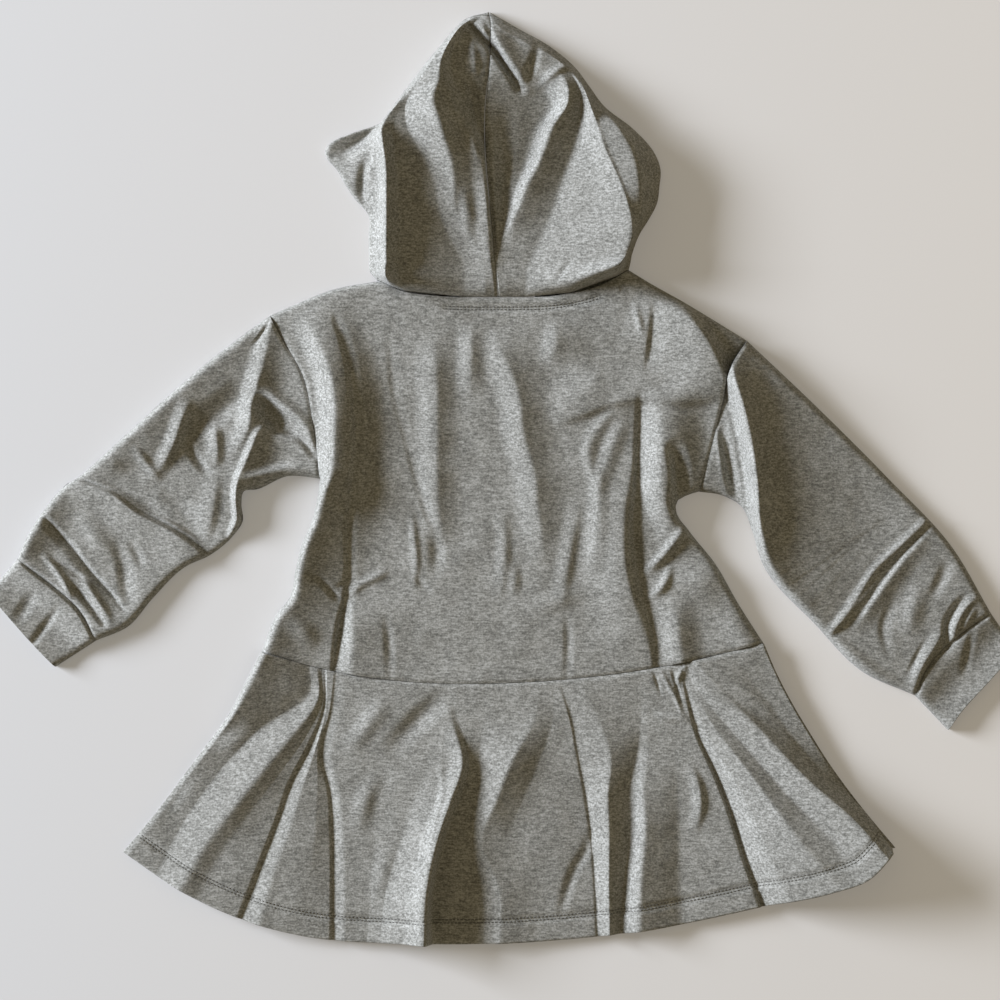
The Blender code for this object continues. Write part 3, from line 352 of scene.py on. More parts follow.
CRUMPLES = [(34, 0.45, 1), (17, 0.32, 2), (8, 0.10, 3)]  # size of the lumps, height, seed
LATTICE = 160  # random heights along each side of the square that the lumps are read from
LATTICE_SHIFT = 60.0

# --- Halves of the hood: one row for each level, from the neck seam to the crown ---

CENTRE_SEAM = [
    # y, x, z
    (173, -2, 12),
    (182, -2.5, 13),
    (197, -4, 14),
    (222, -6, 15),
    (247, -8.5, 15),
    (273, -11, 15),
    (294, -12.5, 14.5),
    (315, -13, 14.5),
    (336, -12, 16),
    (361, -9, 18.5),
    (382, -8, 18),
    (397, -8, 13.5),
    (404, -8.5, 8.5),
]
HOOD_LEFT = [
    # y, then x and z of inner line, ridge, valley, slope, crease, side, lobe and edge,
    # then x and y of the face opening
    (173, -6, 12, -12, 12.5, -30, 11.5, -82, 17, -93, 27, -97, 17, -101, 9, -105, 6, -4, 131),
    (197.5, -8, 15, -14, 14.5, -31, 11.5, -84, 19, -95, 31, -101, 18, -105, 10, -109, 6, -19, 153),
    (218, -12, 16, -23, 16, -42, 12, -84, 20, -95, 32.5, -101, 18, -105, 10, -109.5, 6, -30, 175),
    (240, -24, 18.5, -36, 19, -51, 14.5, -84, 21, -95, 33.5, -101, 17, -106, 10, -111, 6, -42, 205),
    (250, -24, 18.5, -38, 21, -53, 17, -85, 22, -95, 34, -102, 15, -110, 8, -120, 6, -46, 218),
    (262, -21, 18.5, -38, 23, -54, 18, -85, 23, -95, 34.5, -102, 15, -113, 9, -128, 7, -48, 233),
    (276, -20, 19, -40, 26, -60, 18.5, -86, 23, -95, 35, -102, 19, -118, 13, -136, 6, -50, 252),
    (290, -20, 20, -43, 29.5, -67, 18.5, -88, 23, -96.5, 35, -103, 22, -130, 6.5, -146, 8, -50, 272),
    (300, -23, 20, -46, 33, -72, 19.5, -89, 22.5, -98, 34, -104, 22, -117, 7, -141, 10, -49, 286),
    (308, -26, 20, -48, 35.5, -76, 20.5, -90, 22.5, -99, 29.5, -102, 20, -108, 8, -122, 10, -48, 296),
    (315, -28, 20, -50, 36.5, -78, 21, -88, 22.5, -97, 25.5, -99, 17, -101, 10, -102, 6, -47, 304),
    (332, -31, 21, -56, 37, -78, 21.5, -81.5, 22, -85, 22.5, -86.5, 16, -87.5, 11, -88, 6, -41, 320),
    (350, -38, 23, -51, 35, -66, 30, -69, 27, -71, 22, -72.5, 16, -73.5, 11, -74.5, 6, -35, 332),
    (361, -40, 23, -50, 33, -60, 30, -61.5, 25, -63, 20, -64, 15, -65, 10, -66, 6, -31, 338),
    (382, -34, 19, -42, 28, -46, 22, -46.7, 19, -47.4, 16, -48, 12, -48.5, 9, -49, 6, -22, 347),
    (397, -24, 13, -31, 20, -33, 15, -33.7, 13, -34.4, 11, -35, 9, -35.6, 7.5, -36, 6, -14, 351),
    (404, -17, 8, -22, 8.4, -23.5, 7.8, -25, 7.4, -26, 7, -26.8, 6.7, -27.5, 6.4, -28, 6, -11, 352),
]
HOOD_RIGHT = [
    (173, 0, 12, 6, 12, 22, 11, 60, 17, 98, 26, 102, 18, 105, 11, 108, 6, 4, 131),
    (197.5, -2, 13, 3, 12.5, 25, 11.5, 68, 23, 106, 32, 107.5, 20, 109, 12, 110.5, 6, 19, 153),
    (218, -1, 13.5, 5, 13.5, 34, 12, 72, 22.5, 111, 33, 113, 21, 114.8, 13, 116.5, 6, 36, 183),
    (232, 4, 12.5, 10, 15, 40, 11.5, 75, 21.5, 109.5, 32.5, 112, 28, 118, 23, 124, 7, 44, 199),
    (247, 8, 11.5, 17, 17, 46, 12, 78, 21, 105.5, 32, 108.5, 30.5, 118, 28, 131, 8, 50, 214),
    (262, 13, 10.5, 22, 19, 50, 12, 78, 21.5, 100.5, 31.5, 103.5, 30.6, 117, 31, 133, 8, 53, 233),
    (276, 19, 8.5, 29, 20.5, 55, 12.5, 77, 21.5, 94.5, 30.5, 98, 29.8, 115, 31.5, 134, 8, 55, 252),
    (292, 24.5, 7.5, 36, 22, 61, 13.5, 76, 21.5, 87.5, 29.5, 91, 28.8, 110, 31, 128, 8, 56, 274),
    (312, 31.5, 7, 43.5, 24, 66, 15, 73, 22, 81, 27.5, 84.5, 26.8, 98, 27, 110, 7, 53, 299),
    (330, 43, 9, 55.5, 26.5, 68, 18.5, 71, 22, 75, 26, 78, 21, 82, 15, 87, 6, 45, 321),
    (346, 36, 14, 56, 25, 65, 20, 67, 22, 69, 22, 70.5, 16, 72.5, 11, 75, 6, 38, 330),
    (361, 26, 19.5, 47, 18.5, 55.5, 17.5, 57.5, 16, 59.5, 14, 61, 11.5, 62.5, 9, 64, 6, 31, 338),
    (382, 12, 17, 22, 17, 26, 15.5, 29, 14, 32, 12, 34, 10, 36.5, 8, 39, 6, 14, 347),
    (397, -5, 13, -2, 13, 3, 11, 4.5, 10.5, 6, 10, 8, 8, 10, 7, 12, 6, 0, 351),
    (404, -7.5, 8.5, -6.5, 8.5, -4.5, 8, -3.7, 7.8, -3, 7.5, -2, 7, -1, 6.5, 0, 6, -6, 352),
]
LINES = 9  # seam, inner line, ridge, valley, slope, crease, side, lobe, edge
LINE_STEPS = [16, 12, 16, 22, 10, 10, 9, 10]  # columns between one line and the next
ROLL_STEPS = [2, 2]  # those of the rolled side, down to its foot
UNDER_STEPS = 8  # those of the underside
CROWN = (-9, 406.5)  # where the centre seam turns over the crown
CROWN_HEIGHT = 6.0
FOREHEAD = (-9, 353)  # where the centre seam meets the face opening
SIDE_BULGE = 0.8  # the rolled side stands this far outside the edge
SIDE_ROLL = 0.45  # at this share of the edge's height
NECK_REACH = 30.0  # distance above the neck seam over which its curve fades out
NECK_CORNER_Z = 6.0  # height of the hood's edge at the ends of the neck seam
END_ROWS = 8  # rows at the neck and at the crown over which the folds fade out
SIDE_COLUMNS = 14  # columns next to the edge over which they do
SEAM_COLUMNS = 12  # columns that the groove of the centre seam may reach
INNER_FLOOR = 0.2  # least height of the hood's inner side
HOOD_SHIFT = 300  # the hood takes its lumps from another place than the body
HOOD_SOFTENING = 2  # rounds of smoothing
SKIRT_SOFTENING = 1

# --- Stitching ---

HEM_STITCH = (18.0, 20.6)  # the two rows, above the edge of the hem
HEM_STITCH_ENDS = slice(2, -2)  # columns of the skirt that they cross
NECK_STITCH = (8.2, 10.6)  # the two rows, below the neck seam
NECK_STITCH_ENDS = (-50, 88)
NECK_STITCH_FADE = 6  # distance over which the dip of the stitching starts and ends
NECK_PLACES = 200  # places along the neck seam that its rows of stitches follow
STITCH_START = 0.5  # place of the first stitch along its row
STITCH_PITCH = 3.1
STITCH_LENGTH = 2.3
STITCH_PLACES = (0.0, 0.15, 0.85, 1.0)  # shares of its length at which a stitch has its rings
STITCH_RADIUS = 0.5
STITCH_SHARES = (0.25, 1.0, 1.0, 0.25)  # shares of its radius that the rings have
THREAD_SIDES = 6
THREAD_FLATNESS = 0.7
THREAD_LIFT = 0.05  # the thread's middle lies this far above the cloth
STITCH_DIP = 0.9
STITCH_DIP_WIDTH = 1.5

# --- Light, floor and camera ---

KEY_FROM = (-5.50, 1.57, 1.85)
KEY_WIDTH = 3.0
KEY_HEIGHT = 1.5
KEY_POWER = 1265
KEY_COLOUR = (0.67, 0.72, 0.82)
FILL_COLOUR = (0.30, 0.255, 0.17)
FLOOR_LEFT = (0.625, 0.62, 0.615)
FLOOR_RIGHT = (0.70, 0.665, 0.62)
FLOOR_GLOW = 0.25  # share of the floor's own brightness that shadows do not take away
FLOOR_HALF = 4.0  # half its width in metres
FLOOR_Z = -0.2  # in millimetres
CAMERA_HEIGHT = 3.2
FRAME_WIDTH = 0.84  # width of floor in the picture, in metres

HEATHER_DARK = (0.125, 0.123, 0.109)
HEATHER_MIDDLE = (0.245, 0.241, 0.218)
HEATHER_LIGHT = (0.395, 0.391, 0.363)
HEATHER_SHIFT = 0.137  # step of the pattern from one piece to the next
THREAD_COLOUR = (0.12, 0.117, 0.105)


# --- Curves and patches ---

def blend(table, place, wanted):
    """Rows of a table, given at rising places, read off smooth curves at the wanted places."""
    table = np.asarray(table, float)
    place = np.asarray(place, float)
    wanted = np.asarray(wanted, float)
    shape = table.shape[1:]
    table = table.reshape(len(table), -1)
    slope = np.gradient(table, place, axis=0)
    k = np.clip(np.searchsorted(place, wanted, side="right") - 1, 0, len(table) - 2)
    width = (place[k + 1] - place[k])[:, None]
    t = (wanted - place[k])[:, None] / width
    rows = ((1 + 2 * t) * (1 - t) ** 2 * table[k] + t * (1 - t) ** 2 * width * slope[k]
            + t ** 2 * (3 - 2 * t) * table[k + 1] - t ** 2 * (1 - t) * width * slope[k + 1])
    return rows.reshape((len(wanted),) + shape)


def along(points, shares):
    """Places at the given shares of the chord length of a smooth curve through the points."""
    points = np.asarray(points, float)
    steps = np.linalg.norm(np.diff(points[:, :2], axis=0), axis=1)
    place = np.concatenate(([0.0], np.cumsum(steps))) / steps.sum()
    return blend(points, place, shares)


def even(points, steps):
    """A smooth curve as steps + 1 evenly spaced places."""
    return along(points, np.linspace(0.0, 1.0, steps + 1))


def steps_along(points, size):
    """Number of steps of about that size along a line."""
    return max(2, round(np.linalg.norm(np.diff(np.array(points)[:, :2], axis=0), axis=1).sum() / size))


def joined(*lines):
    """Lines that follow on from one another, as one row of points."""
    return np.vstack([lines[0]] + [line[1:] for line in lines[1:]])


def patch(start, end, left, right):
    """Grid of plan points between four edges: row 0 is start, the last row is end."""
    u = np.linspace(0.0, 1.0, len(start))[None, :, None]
    v = np.linspace(0.0, 1.0, len(left))[:, None, None]
    ruled = (1 - v) * start[None] + v * end[None] + (1 - u) * left[:, None] + u * right[:, None]
    corners = ((1 - u) * (1 - v) * start[0] + u * (1 - v) * start[-1]
               + (1 - u) * v * end[0] + u * v * end[-1])
    return ruled - corners


def read_rows(grid, places):
    """A grid read at fractional rows."""
    k = np.clip(np.floor(places).astype(int), 0, len(grid) - 2)
    t = (places - k).reshape((-1,) + (1,) * (grid.ndim - 1))
    return (1 - t) * grid[k] + t * grid[k + 1]


def crowded(grid):
    """A grid with extra rows and columns next to its four edges."""
    close = np.array(CLOSE)
    for _ in range(2):
        count = len(grid)
        places = np.sort(np.concatenate((np.arange(count), close, count - 1 - close)))
        grid = read_rows(grid, places).swapaxes(0, 1)
    return grid


def toward(points, aim, distance):
    """Points moved a fixed distance towards their partners in aim."""
    way = aim - points
    return points + way / np.linalg.norm(way, axis=-1, keepdims=True) * distance


def drawn_back(plan, last=INSET):
    """A plan grid drawn back from the seams at its first and last rows."""
    plan = plan.copy()
    plan[0] = toward(plan[0], plan[1], INSET)
    plan[-1] = toward(plan[-1], plan[-2], last)
    return plan


def on_line(line, x):
    """Places on a curve that runs from left to right, at the given x."""
    fine = even(line, LINE_PLACES)
    return np.stack((x, np.interp(x, fine[:, 0], fine[:, 1])), axis=-1)


def nearest(plan, path):
    """Distance to a path, side of it (+1 on its left hand) and place along it, for every plan point."""
    best = np.full(plan.shape[:-1], np.inf)
    side = np.zeros(plan.shape[:-1])
    place = np.zeros(plan.shape[:-1])
    for k in range(len(path) - 1):
        run = path[k + 1] - path[k]
        offset = plan - path[k]
        t = np.clip((offset @ run) / (run @ run), 0.0, 1.0)
        gap = np.linalg.norm(offset - t[..., None] * run, axis=-1)
        closer = gap < best
        best = np.where(closer, gap, best)
        side = np.where(closer, np.sign(run[0] * offset[..., 1] - run[1] * offset[..., 0]), side)
        place = np.where(closer, k + t, place)
    return best, side, place


# --- Height of the upper layer ---

def near_box(plan, path, reach):
    """Which plan points lie in the box round a path."""
    low, high = path[:, :2].min(axis=0) - reach, path[:, :2].max(axis=0) + reach
    return np.all((plan > low) & (plan < high), axis=-1)


def folds(plan, table):
    """Sum of the ridges and troughs of a table."""
    height = np.zeros(plan.shape[:-1])
    for _name, right_width, right_crisp, left_width, left_crisp, places in table:
        path = even([(*place, 0)[:3] for place in places], PATH_STEPS)
        near = near_box(plan, path, max(right_width, left_width))
        if not near.any():
            continue
        gap, side, place = nearest(plan[near], path[:, :2])
        width = np.where(side > 0, left_width, right_width)
        crisp = np.where(side > 0, left_crisp, right_crisp) / SHARP
        out = np.clip(gap / width, 0.0, 1.0)
        tip = CREST_ROUND / width
        soft = 0.5 + 0.5 * np.cos(np.pi * out)
        cone = 1 - (np.hypot(out, tip) - tip) / (np.hypot(1.0, tip) - tip)
        across = (1 - crisp) * soft + crisp * cone ** 2
        height[near] += across * np.interp(place, np.arange(len(path)), path[:, 2])
    return height


def crumple(plan):
    """Soft random unevenness."""
    height = np.zeros(plan.shape[:-1])
    for size, rise, seed in CRUMPLES:
        lattice = np.random.default_rng(seed).uniform(-1.0, 1.0, (LATTICE, LATTICE))
        place = plan / size + LATTICE_SHIFT
        cell = np.floor(place).astype(int)
        t = place - cell
        tx, ty = np.moveaxis(t * t * (3 - 2 * t), -1, 0)
        i, j = np.moveaxis(cell % (LATTICE - 1), -1, 0)
        height += rise * ((1 - tx) * (1 - ty) * lattice[i, j] + tx * (1 - ty) * lattice[i + 1, j]
                          + (1 - tx) * ty * lattice[i, j + 1] + tx * ty * lattice[i + 1, j + 1])
    return height


def grooves(plan):
    """Dip of the cloth next to its seams."""
    dip = np.zeros(plan.shape[:-1])
    for seam in SEAMS:
        path = even(seam, SEAM_PLACES)
        near = near_box(plan, path, 3 * SEAM_WIDTH)
        if near.any():
            gap = nearest(plan[near], path)[0]
            dip[near] = np.minimum(dip[near], -SEAM_DIP * np.exp(-(gap / SEAM_WIDTH) ** 2))
    return dip


def inside_of(plan, edges):
    """Distance to the nearest of some edges, as far as it is felt."""
    inside = np.full(plan.shape[:-1], EDGE_REACH)
    for edge in edges:
        path = even(edge, EDGE_PLACES)
        near = near_box(plan, path, EDGE_REACH)
        if near.any():
            inside[near] = np.minimum(inside[near], nearest(plan[near], path)[0])
    return inside


def turned(inside):
    """Share of its thickness that a turned edge has reached, at a distance inside it."""
    return np.sqrt(1 - (1 - np.clip(inside / ROLL, 0.0, 1.0)) ** 2)


def surface(plan, table, edges=FREE_EDGES, loft_share=1.0, extra=0.0):
    """Height of the outside of the upper layer over a plan point."""
    inside = inside_of(plan, edges)
    shape = folds(plan, table) + crumple(plan) + extra
    return (EDGE_Z + CLOTH * turned(inside) + (1 - np.exp(-inside / ROUND)) * LOFT * loft_share
            + (1 - np.exp(-inside / FOLD_REACH)) * shape + grooves(plan))


def upright(top):
    """Upright thickness that keeps a layer's true thickness on its slopes."""
    normal = np.cross(np.gradient(top, axis=0), np.gradient(top, axis=1))
    tilt = np.linalg.norm(normal, axis=-1) / np.maximum(np.abs(normal[..., 2]), 1e-9)
    return np.minimum(tilt, LIMIT)


# --- Walls ---

def wall(outer, inner, ring=False):
    """Corners and quads of the closed body between two grids.

    A ring joins its last column to its first one.
    """
    rows, columns = outer.shape[:2]
    corners = np.concatenate((outer.reshape(-1, 3), inner.reshape(-1, 3)))
    under = rows * columns
    number = np.arange(under).reshape(rows, columns)
    if ring:
        number = np.concatenate((number, number[:, :1]), axis=1)
    a, b, c, d = number[:-1, :-1], number[:-1, 1:], number[1:, 1:], number[1:, :-1]

    def quads(*corner):
        return np.stack([np.ravel(x) for x in corner], axis=-1)

    faces = [quads(a, b, c, d), quads(under + a, under + d, under + c, under + b)]
    rims = [(number[0, 1:], number[0, :-1]), (number[-1, :-1], number[-1, 1:])]
    if not ring:
        rims += [(number[:-1, 0], number[1:, 0]), (number[1:, -1], number[:-1, -1])]
    faces += [quads(start, end, under + end, under + start) for start, end in rims]
    return corners, np.concatenate(faces)


def lifted(plan, height):
    """Plan points with a height, as points in space."""
    return np.concatenate((plan, np.broadcast_to(height, plan.shape[:-1])[..., None]), axis=-1)


def upper_panel(plan, height):
    """A back panel, lying on the front panel below it."""
    top = lifted(plan, height)
    below = np.maximum(height - CLOTH * upright(top), CLOTH + SEAM_GAP)
    return wall(top, lifted(plan, np.minimum(below, height - LEAST_CLOTH)))


def flat_panel(plan):
    """A front panel, flat on the floor."""
    return wall(lifted(plan, CLOTH), lifted(plan, 0.0))


def tube(plan, cloth, table, sink=0.0):
    """A sleeve or cuff: a ring of cloth with a flat underside and turned edges.

    Halfway along it loses the share sink of its loft.
    """
    halfway = np.sin(np.pi * np.linspace(0.0, 1.0, len(plan)))[:, None]
    height = np.maximum(surface(plan, table, loft_share=1 - sink * halfway), EDGE_Z)
    top = lifted(plan, height)
    below = plan[:, np.arange(plan.shape[1] - UNDER_EVERY, 2, -UNDER_EVERY)]
    inner_plan = plan.copy()
    low_edge, inner_edge = [], []
    for k, beside in ((-1, -2), (0, 1)):
        low_edge.append(lifted(toward(plan[:, [k]], plan[:, [beside]], UNDER_INSET), 0.0))
        inner_plan[:, k] = toward(plan[:, k], plan[:, beside], cloth)
        inner_edge.append(lifted(inner_plan[:, [k]], cloth))
    inner_height = np.maximum(height - cloth * upright(top), cloth + SEAM_GAP)
    inner_height[:, [0, -1]] = np.minimum(height[:, [0, -1]] - SEAM_GAP, inner_height[:, [0, -1]])
    outer = np.concatenate((top, low_edge[0], lifted(below, 0.0), low_edge[1]), axis=1)
    inner_top = lifted(inner_plan, inner_height)
    inner = np.concatenate((inner_top, inner_edge[0], lifted(below, cloth), inner_edge[1]), axis=1)
    return wall(outer, inner, ring=True)


# --- Body ---

def bodice_plan(neck, size):
    """Plan of a bodice panel, from shoulders and neck down to the waist seam."""
    shoulder = steps_along(SHOULDER_LEFT, size)
    armhole = steps_along(ARMHOLE_LEFT, size)
    side = steps_along(SIDE_LEFT, size)
    start = joined(even(SHOULDER_LEFT, shoulder), even(neck, steps_along(neck, size)),
                   even(SHOULDER_RIGHT, shoulder))
    end = even(WAIST, len(start) - 1)
    left = joined(even(ARMHOLE_LEFT, armhole), even(SIDE_LEFT, side))
    right = joined(even(ARMHOLE_RIGHT, armhole), even(SIDE_RIGHT, side))
    plan = drawn_back(patch(start, end, left, right))
    rows = slice(0, armhole + 1)
    for k, beside in ((0, 1), (-1, -2)):
        plan[rows, k] = toward(plan[rows, k], plan[rows, beside], INSET)
    return plan


def skirt_columns(size):
    """Columns as fractional numbers of the flutes' lines, about evenly spaced across the skirt."""
    x = np.array([row[1] for row in FLUTES], float)
    spans = np.abs(np.diff(x, axis=0)).max(axis=1)
    places = [np.linspace(k, k + 1, max(FLUTE_STEPS, round(span / size)), endpoint=False)
              for k, span in enumerate(spans)]
    return np.concatenate(places + [[len(FLUTES) - 1.0]])


def skirt_grid(columns, size, proud=0.0):
    """Plan and flute heights of a skirt panel whose columns run down the flutes."""
    rows = round(SKIRT_DEPTH / size)
    close = np.array(CLOSE) / rows
    v = np.sort(np.concatenate((np.linspace(0.0, 1.0, rows + 1), close, 1 - close)))
    v = v + HEM_CROWDING * v * (1 - v)
    number = np.arange(len(FLUTES))
    x, rise = (np.stack([np.interp(columns, number, row)
                         for row in blend(np.transpose([flute[k] for flute in FLUTES]), LEVELS, v)])
               for k in (1, 2))
    waist, hem = on_line(WAIST, x[0])[:, 1], on_line(HEM, x[-1])[:, 1]
    v = v[:, None]
    y = (1 - v) * waist + v * hem
    x[:, -1] += proud * v[:, 0]
    plan = np.stack((x, y), axis=-1)
    return drawn_back(plan, last=0.0), rise, v


def softened(grid, rounds):
    """A grid with its creases rounded a little; its outline stays."""
    grid = grid.copy()
    for _ in range(rounds):
        grid[:, 1:-1] = (grid[:, :-2] + 2 * grid[:, 1:-1] + grid[:, 2:]) / 4
        grid[1:-1] = (grid[:-2] + 2 * grid[1:-1] + grid[2:]) / 4
    return grid


def stitch_dip(distance, rows):
    """Dip of the cloth along rows of stitching, from the distance to the edge that they follow."""
    return sum(-STITCH_DIP * np.exp(-((distance - row) / STITCH_DIP_WIDTH) ** 2) for row in rows)


# --- Hood ---

def hood_net(table, side):
    """Coarse net of one half: rows from the neck seam to the crown, columns as section() gives them."""
    table = np.array(table, float)
    seam_table = np.array(CENTRE_SEAM, float)
    under = np.linspace(0.0, 1.0, UNDER_STEPS + 1)[1:, None]
    corner = NECK_BACK[0] if side < 0 else NECK_BACK[-1]
    lines_x, lines_z = slice(1, 2 * LINES - 1, 2), slice(2, 2 * LINES - 1, 2)
    first_x = np.concatenate((seam_table[:1, 1], table[0, lines_x]))
    neck_top = on_line(NECK_BACK, first_x * corner[0] / first_x[-1])
    neck_under = along(NECK_FRONT, 0.5 + side * 0.5 * (1 - under[:, 0]))
    neck_height = surface(neck_top, BODICE_FOLDS)
    neck_height[-1] = NECK_CORNER_Z
    rows = [section(lifted(neck_top, neck_height), neck_top[-1], neck_under, side, 0.0)]
    neck_y = neck_top[:, 1] - neck_top[0, 1]
    for level in table:
        seam = blend(seam_table[:, 1:], seam_table[:, 0], level[:1])[0]
        x = np.concatenate((seam[:1], level[lines_x]))
        z = np.concatenate((seam[1:], level[lines_z]))
        y = level[0] + neck_y * np.exp(-(level[0] - table[0, 0]) / NECK_REACH)
        edge = np.array((x[-1], y[-1]))
        underside = edge + under * (level[2 * LINES - 1:] - edge)
        rows.append(section(np.stack((x, y, z), axis=-1), edge, underside, side, SIDE_BULGE))
    turn = np.linspace(0.0, 1.0, LINES) * np.pi / 2
    crown = np.array(CROWN, float)
    top = np.stack((np.full_like(turn, crown[0]), crown[1] + CROWN_HEIGHT / 2 * np.sin(turn),
                    CROWN_HEIGHT / 2 * (1 + np.cos(turn))), axis=-1)
    edge = top[-1, :2]
    rows.append(section(top, edge, edge + under * (np.array(FOREHEAD) - edge), side, 0.0))
    return np.stack(rows)


def section(top, edge, underside, side, bulge):
    """One level of a half: the top, the rolled side and the underside down to the face opening."""
    height = top[-1, 2]
    rolled = np.array([(edge[0] + side * bulge, edge[1], height * SIDE_ROLL)])
    foot = np.array([(edge[0] + side * bulge / 2, edge[1], 0.0)])
    return np.concatenate((top, rolled, foot, lifted(underside, 0.0)))


def hood_half(table, side):
    """Fine grid of the outside of one half of the hood."""
    net = hood_net(table, side)
    moves = np.linalg.norm(np.diff(net[:, :LINES, :2], axis=0), axis=-1).mean(axis=1)
    place = np.concatenate(([0.0], np.cumsum(moves)))
    grid = blend(net, place, np.linspace(0.0, place[-1], round(place[-1] / FINE_STEP) + 1))
    steps = LINE_STEPS + ROLL_STEPS + [1] * (net.shape[1] - LINES - len(ROLL_STEPS))
    columns = np.concatenate([np.linspace(k, k + 1, n, endpoint=False) for k, n in enumerate(steps)]
                             + [[net.shape[1] - 1.0]])
    grid = read_rows(grid.swapaxes(0, 1), columns).swapaxes(0, 1)
    top = sum(LINE_STEPS)
    grid[:, :top + 3] = softened(grid[:, :top + 3], HOOD_SOFTENING)
    plan = grid[:, :top, :2]
    lift = folds(plan, HOOD_FOLDS) + crumple(plan + HOOD_SHIFT)
    row = np.arange(len(grid))
    down = np.clip(row / END_ROWS, 0, 1) * np.clip((len(grid) - 1 - row) / END_ROWS, 0, 1)
    across = np.clip((top - np.arange(top)) / SIDE_COLUMNS, 0, 1)
    grid[:, :top, 2] += lift * down[:, None] * across
    return grid


def hood_wall(table, side):
    """Closed wall of one half of the hood, drawn back from the centre seam and the neck seam."""
    grid = hood_half(table, side)
    normal = np.cross(np.gradient(grid, axis=1), np.gradient(grid, axis=0)) * side
    for seam in (normal[:, 0], normal[-1]):
        seam[:, 0] = 0.0
    normal /= np.maximum(np.linalg.norm(normal, axis=-1, keepdims=True), 1e-9)
    seam_dip = SEAM_DIP * np.exp(-(np.abs(grid[..., 0] - grid[:, :1, 0]) / SEAM_WIDTH) ** 2)
    grid[:, :SEAM_COLUMNS, 2] -= seam_dip[:, :SEAM_COLUMNS]
    grid[:, 0, 0] += side * INSET
    grid[-1, :, 0] += side * INSET
    grid[0, :, 1] += INSET
    inner = grid - CLOTH * normal
    inner[..., 2] = np.maximum(inner[..., 2], INNER_FLOOR)
    return wall(grid, inner)


# --- Materials ---

def plug(tree, node, inputs):
    """Give inputs of a node their values, or link them to outputs of other nodes."""
    for key, value in inputs.items():
        if isinstance(value, bpy.types.NodeSocket):
            tree.links.new(value, node.inputs[key])
        else:
            node.inputs[key].default_value = value


def add(tree, kind, inputs=None):
    """A new shader node with its inputs."""
    node = tree.nodes.new("ShaderNode" + kind)
    plug(tree, node, inputs or {})
    return node


def ramp(tree, value, *stops):
    """Colours between the stops (place, colour) at a value."""
    node = add(tree, "ValToRGB", {"Fac": value})
    elements = node.color_ramp.elements
    elements[0].position, elements[1].position = stops[0][0], stops[-1][0]
    for place, _colour in stops[1:-1]:
        elements.new(place)
    for element, (_place, colour) in zip(elements, stops):
        element.color = (*colour, 1)
    return node.outputs["Color"]


def matt(name, inputs):
    """A new material, its node tree and its shader with some inputs set."""
    material = bpy.data.materials.new(name)
    material.use_nodes = True
    tree = material.node_tree
    shader = tree.nodes["Principled BSDF"]
    plug(tree, shader, inputs)
    return material, tree, shader


def heather(name, shift):
    """Melange jersey: light and dark fibres in short streaks, a soft mottle and a fine nap."""
    material, tree, shader = matt(name, {"Roughness": 0.92, "Metallic": 0.0, "Sheen Weight": 0.12,
                                         "Sheen Roughness": 0.5, "Specular IOR Level": 0.15})
    place = add(tree, "TexCoord").outputs["Object"]

    def noise(scale, detail, roughness, stretch=(1, 1, 1)):
        moved = add(tree, "Mapping", {"Vector": place, "Scale": stretch,
                                      "Location": (shift, shift * 0.7, shift * 0.3)})
        return add(tree, "TexNoise", {"Vector": moved.outputs["Vector"], "Scale": scale, "Detail": detail,
                                      "Roughness": roughness}).outputs["Fac"]

    def mixed(share, first, second):
        return add(tree, "Mix", {"Factor": share, 2: first, 3: second}).outputs[0]

    speckle = noise(640, 2.0, 0.6)
    streak = noise(520, 2.0, 0.6, (0.35, 1.3, 1.0))
    mottle = noise(60, 2.0, 0.5)
    value = mixed(0.12, mixed(0.5, speckle, streak), mottle)
    colour = ramp(tree, value, (0.38, HEATHER_DARK), (0.5, HEATHER_MIDDLE), (0.62, HEATHER_LIGHT))
    nap = add(tree, "Bump", {"Strength": 0.35, "Distance": 0.0006, "Height": noise(900, 3.0, 0.7)})
    plug(tree, shader, {"Base Color": colour, "Normal": nap.outputs["Normal"]})
    return material


def thread(name):
    """Matt sewing thread with a faint unevenness of colour."""
    material, tree, shader = matt(name, {"Roughness": 0.9, "Specular IOR Level": 0.1})
    spots = add(tree, "TexNoise", {"Scale": 700}).outputs["Fac"]
    dark, light = ([share * part for part in THREAD_COLOUR] for share in (0.85, 1.15))
    plug(tree, shader, {"Base Color": ramp(tree, spots, (0, dark), (1, light))})
    return material


def floor_material():
    """Pale floor, a little warmer towards the right, with a share of its brightness its own."""
    material, tree, shader = matt("floor", {"Roughness": 0.9, "Specular IOR Level": 0.1})
    across = add(tree, "SeparateXYZ", {"Vector": add(tree, "TexCoord").outputs["Object"]}).outputs["X"]
    spread = add(tree, "MapRange", {"Value": across, "From Min": -FRAME_WIDTH / 2,
                                    "From Max": FRAME_WIDTH / 2})
    colour = ramp(tree, spread.outputs["Result"], (0, FLOOR_LEFT), (1, FLOOR_RIGHT))
    glow = add(tree, "Math", {0: add(tree, "LightPath").outputs["Is Camera Ray"], 1: FLOOR_GLOW})
    glow.operation = "MULTIPLY"
    share = glow.outputs["Value"]
    rest = add(tree, "Mix")
    rest.data_type = "RGBA"
    plug(tree, rest, {0: share, 6: colour, 7: (0, 0, 0, 1)})
    plug(tree, shader, {"Base Color": rest.outputs[2], "Emission Color": colour,
                        "Emission Strength": share})
    return material


# --- Objects ---

def placed(name, data):
    """A new object in the scene."""
    thing = bpy.data.objects.new(name, data)
    bpy.context.scene.collection.objects.link(thing)
    return thing


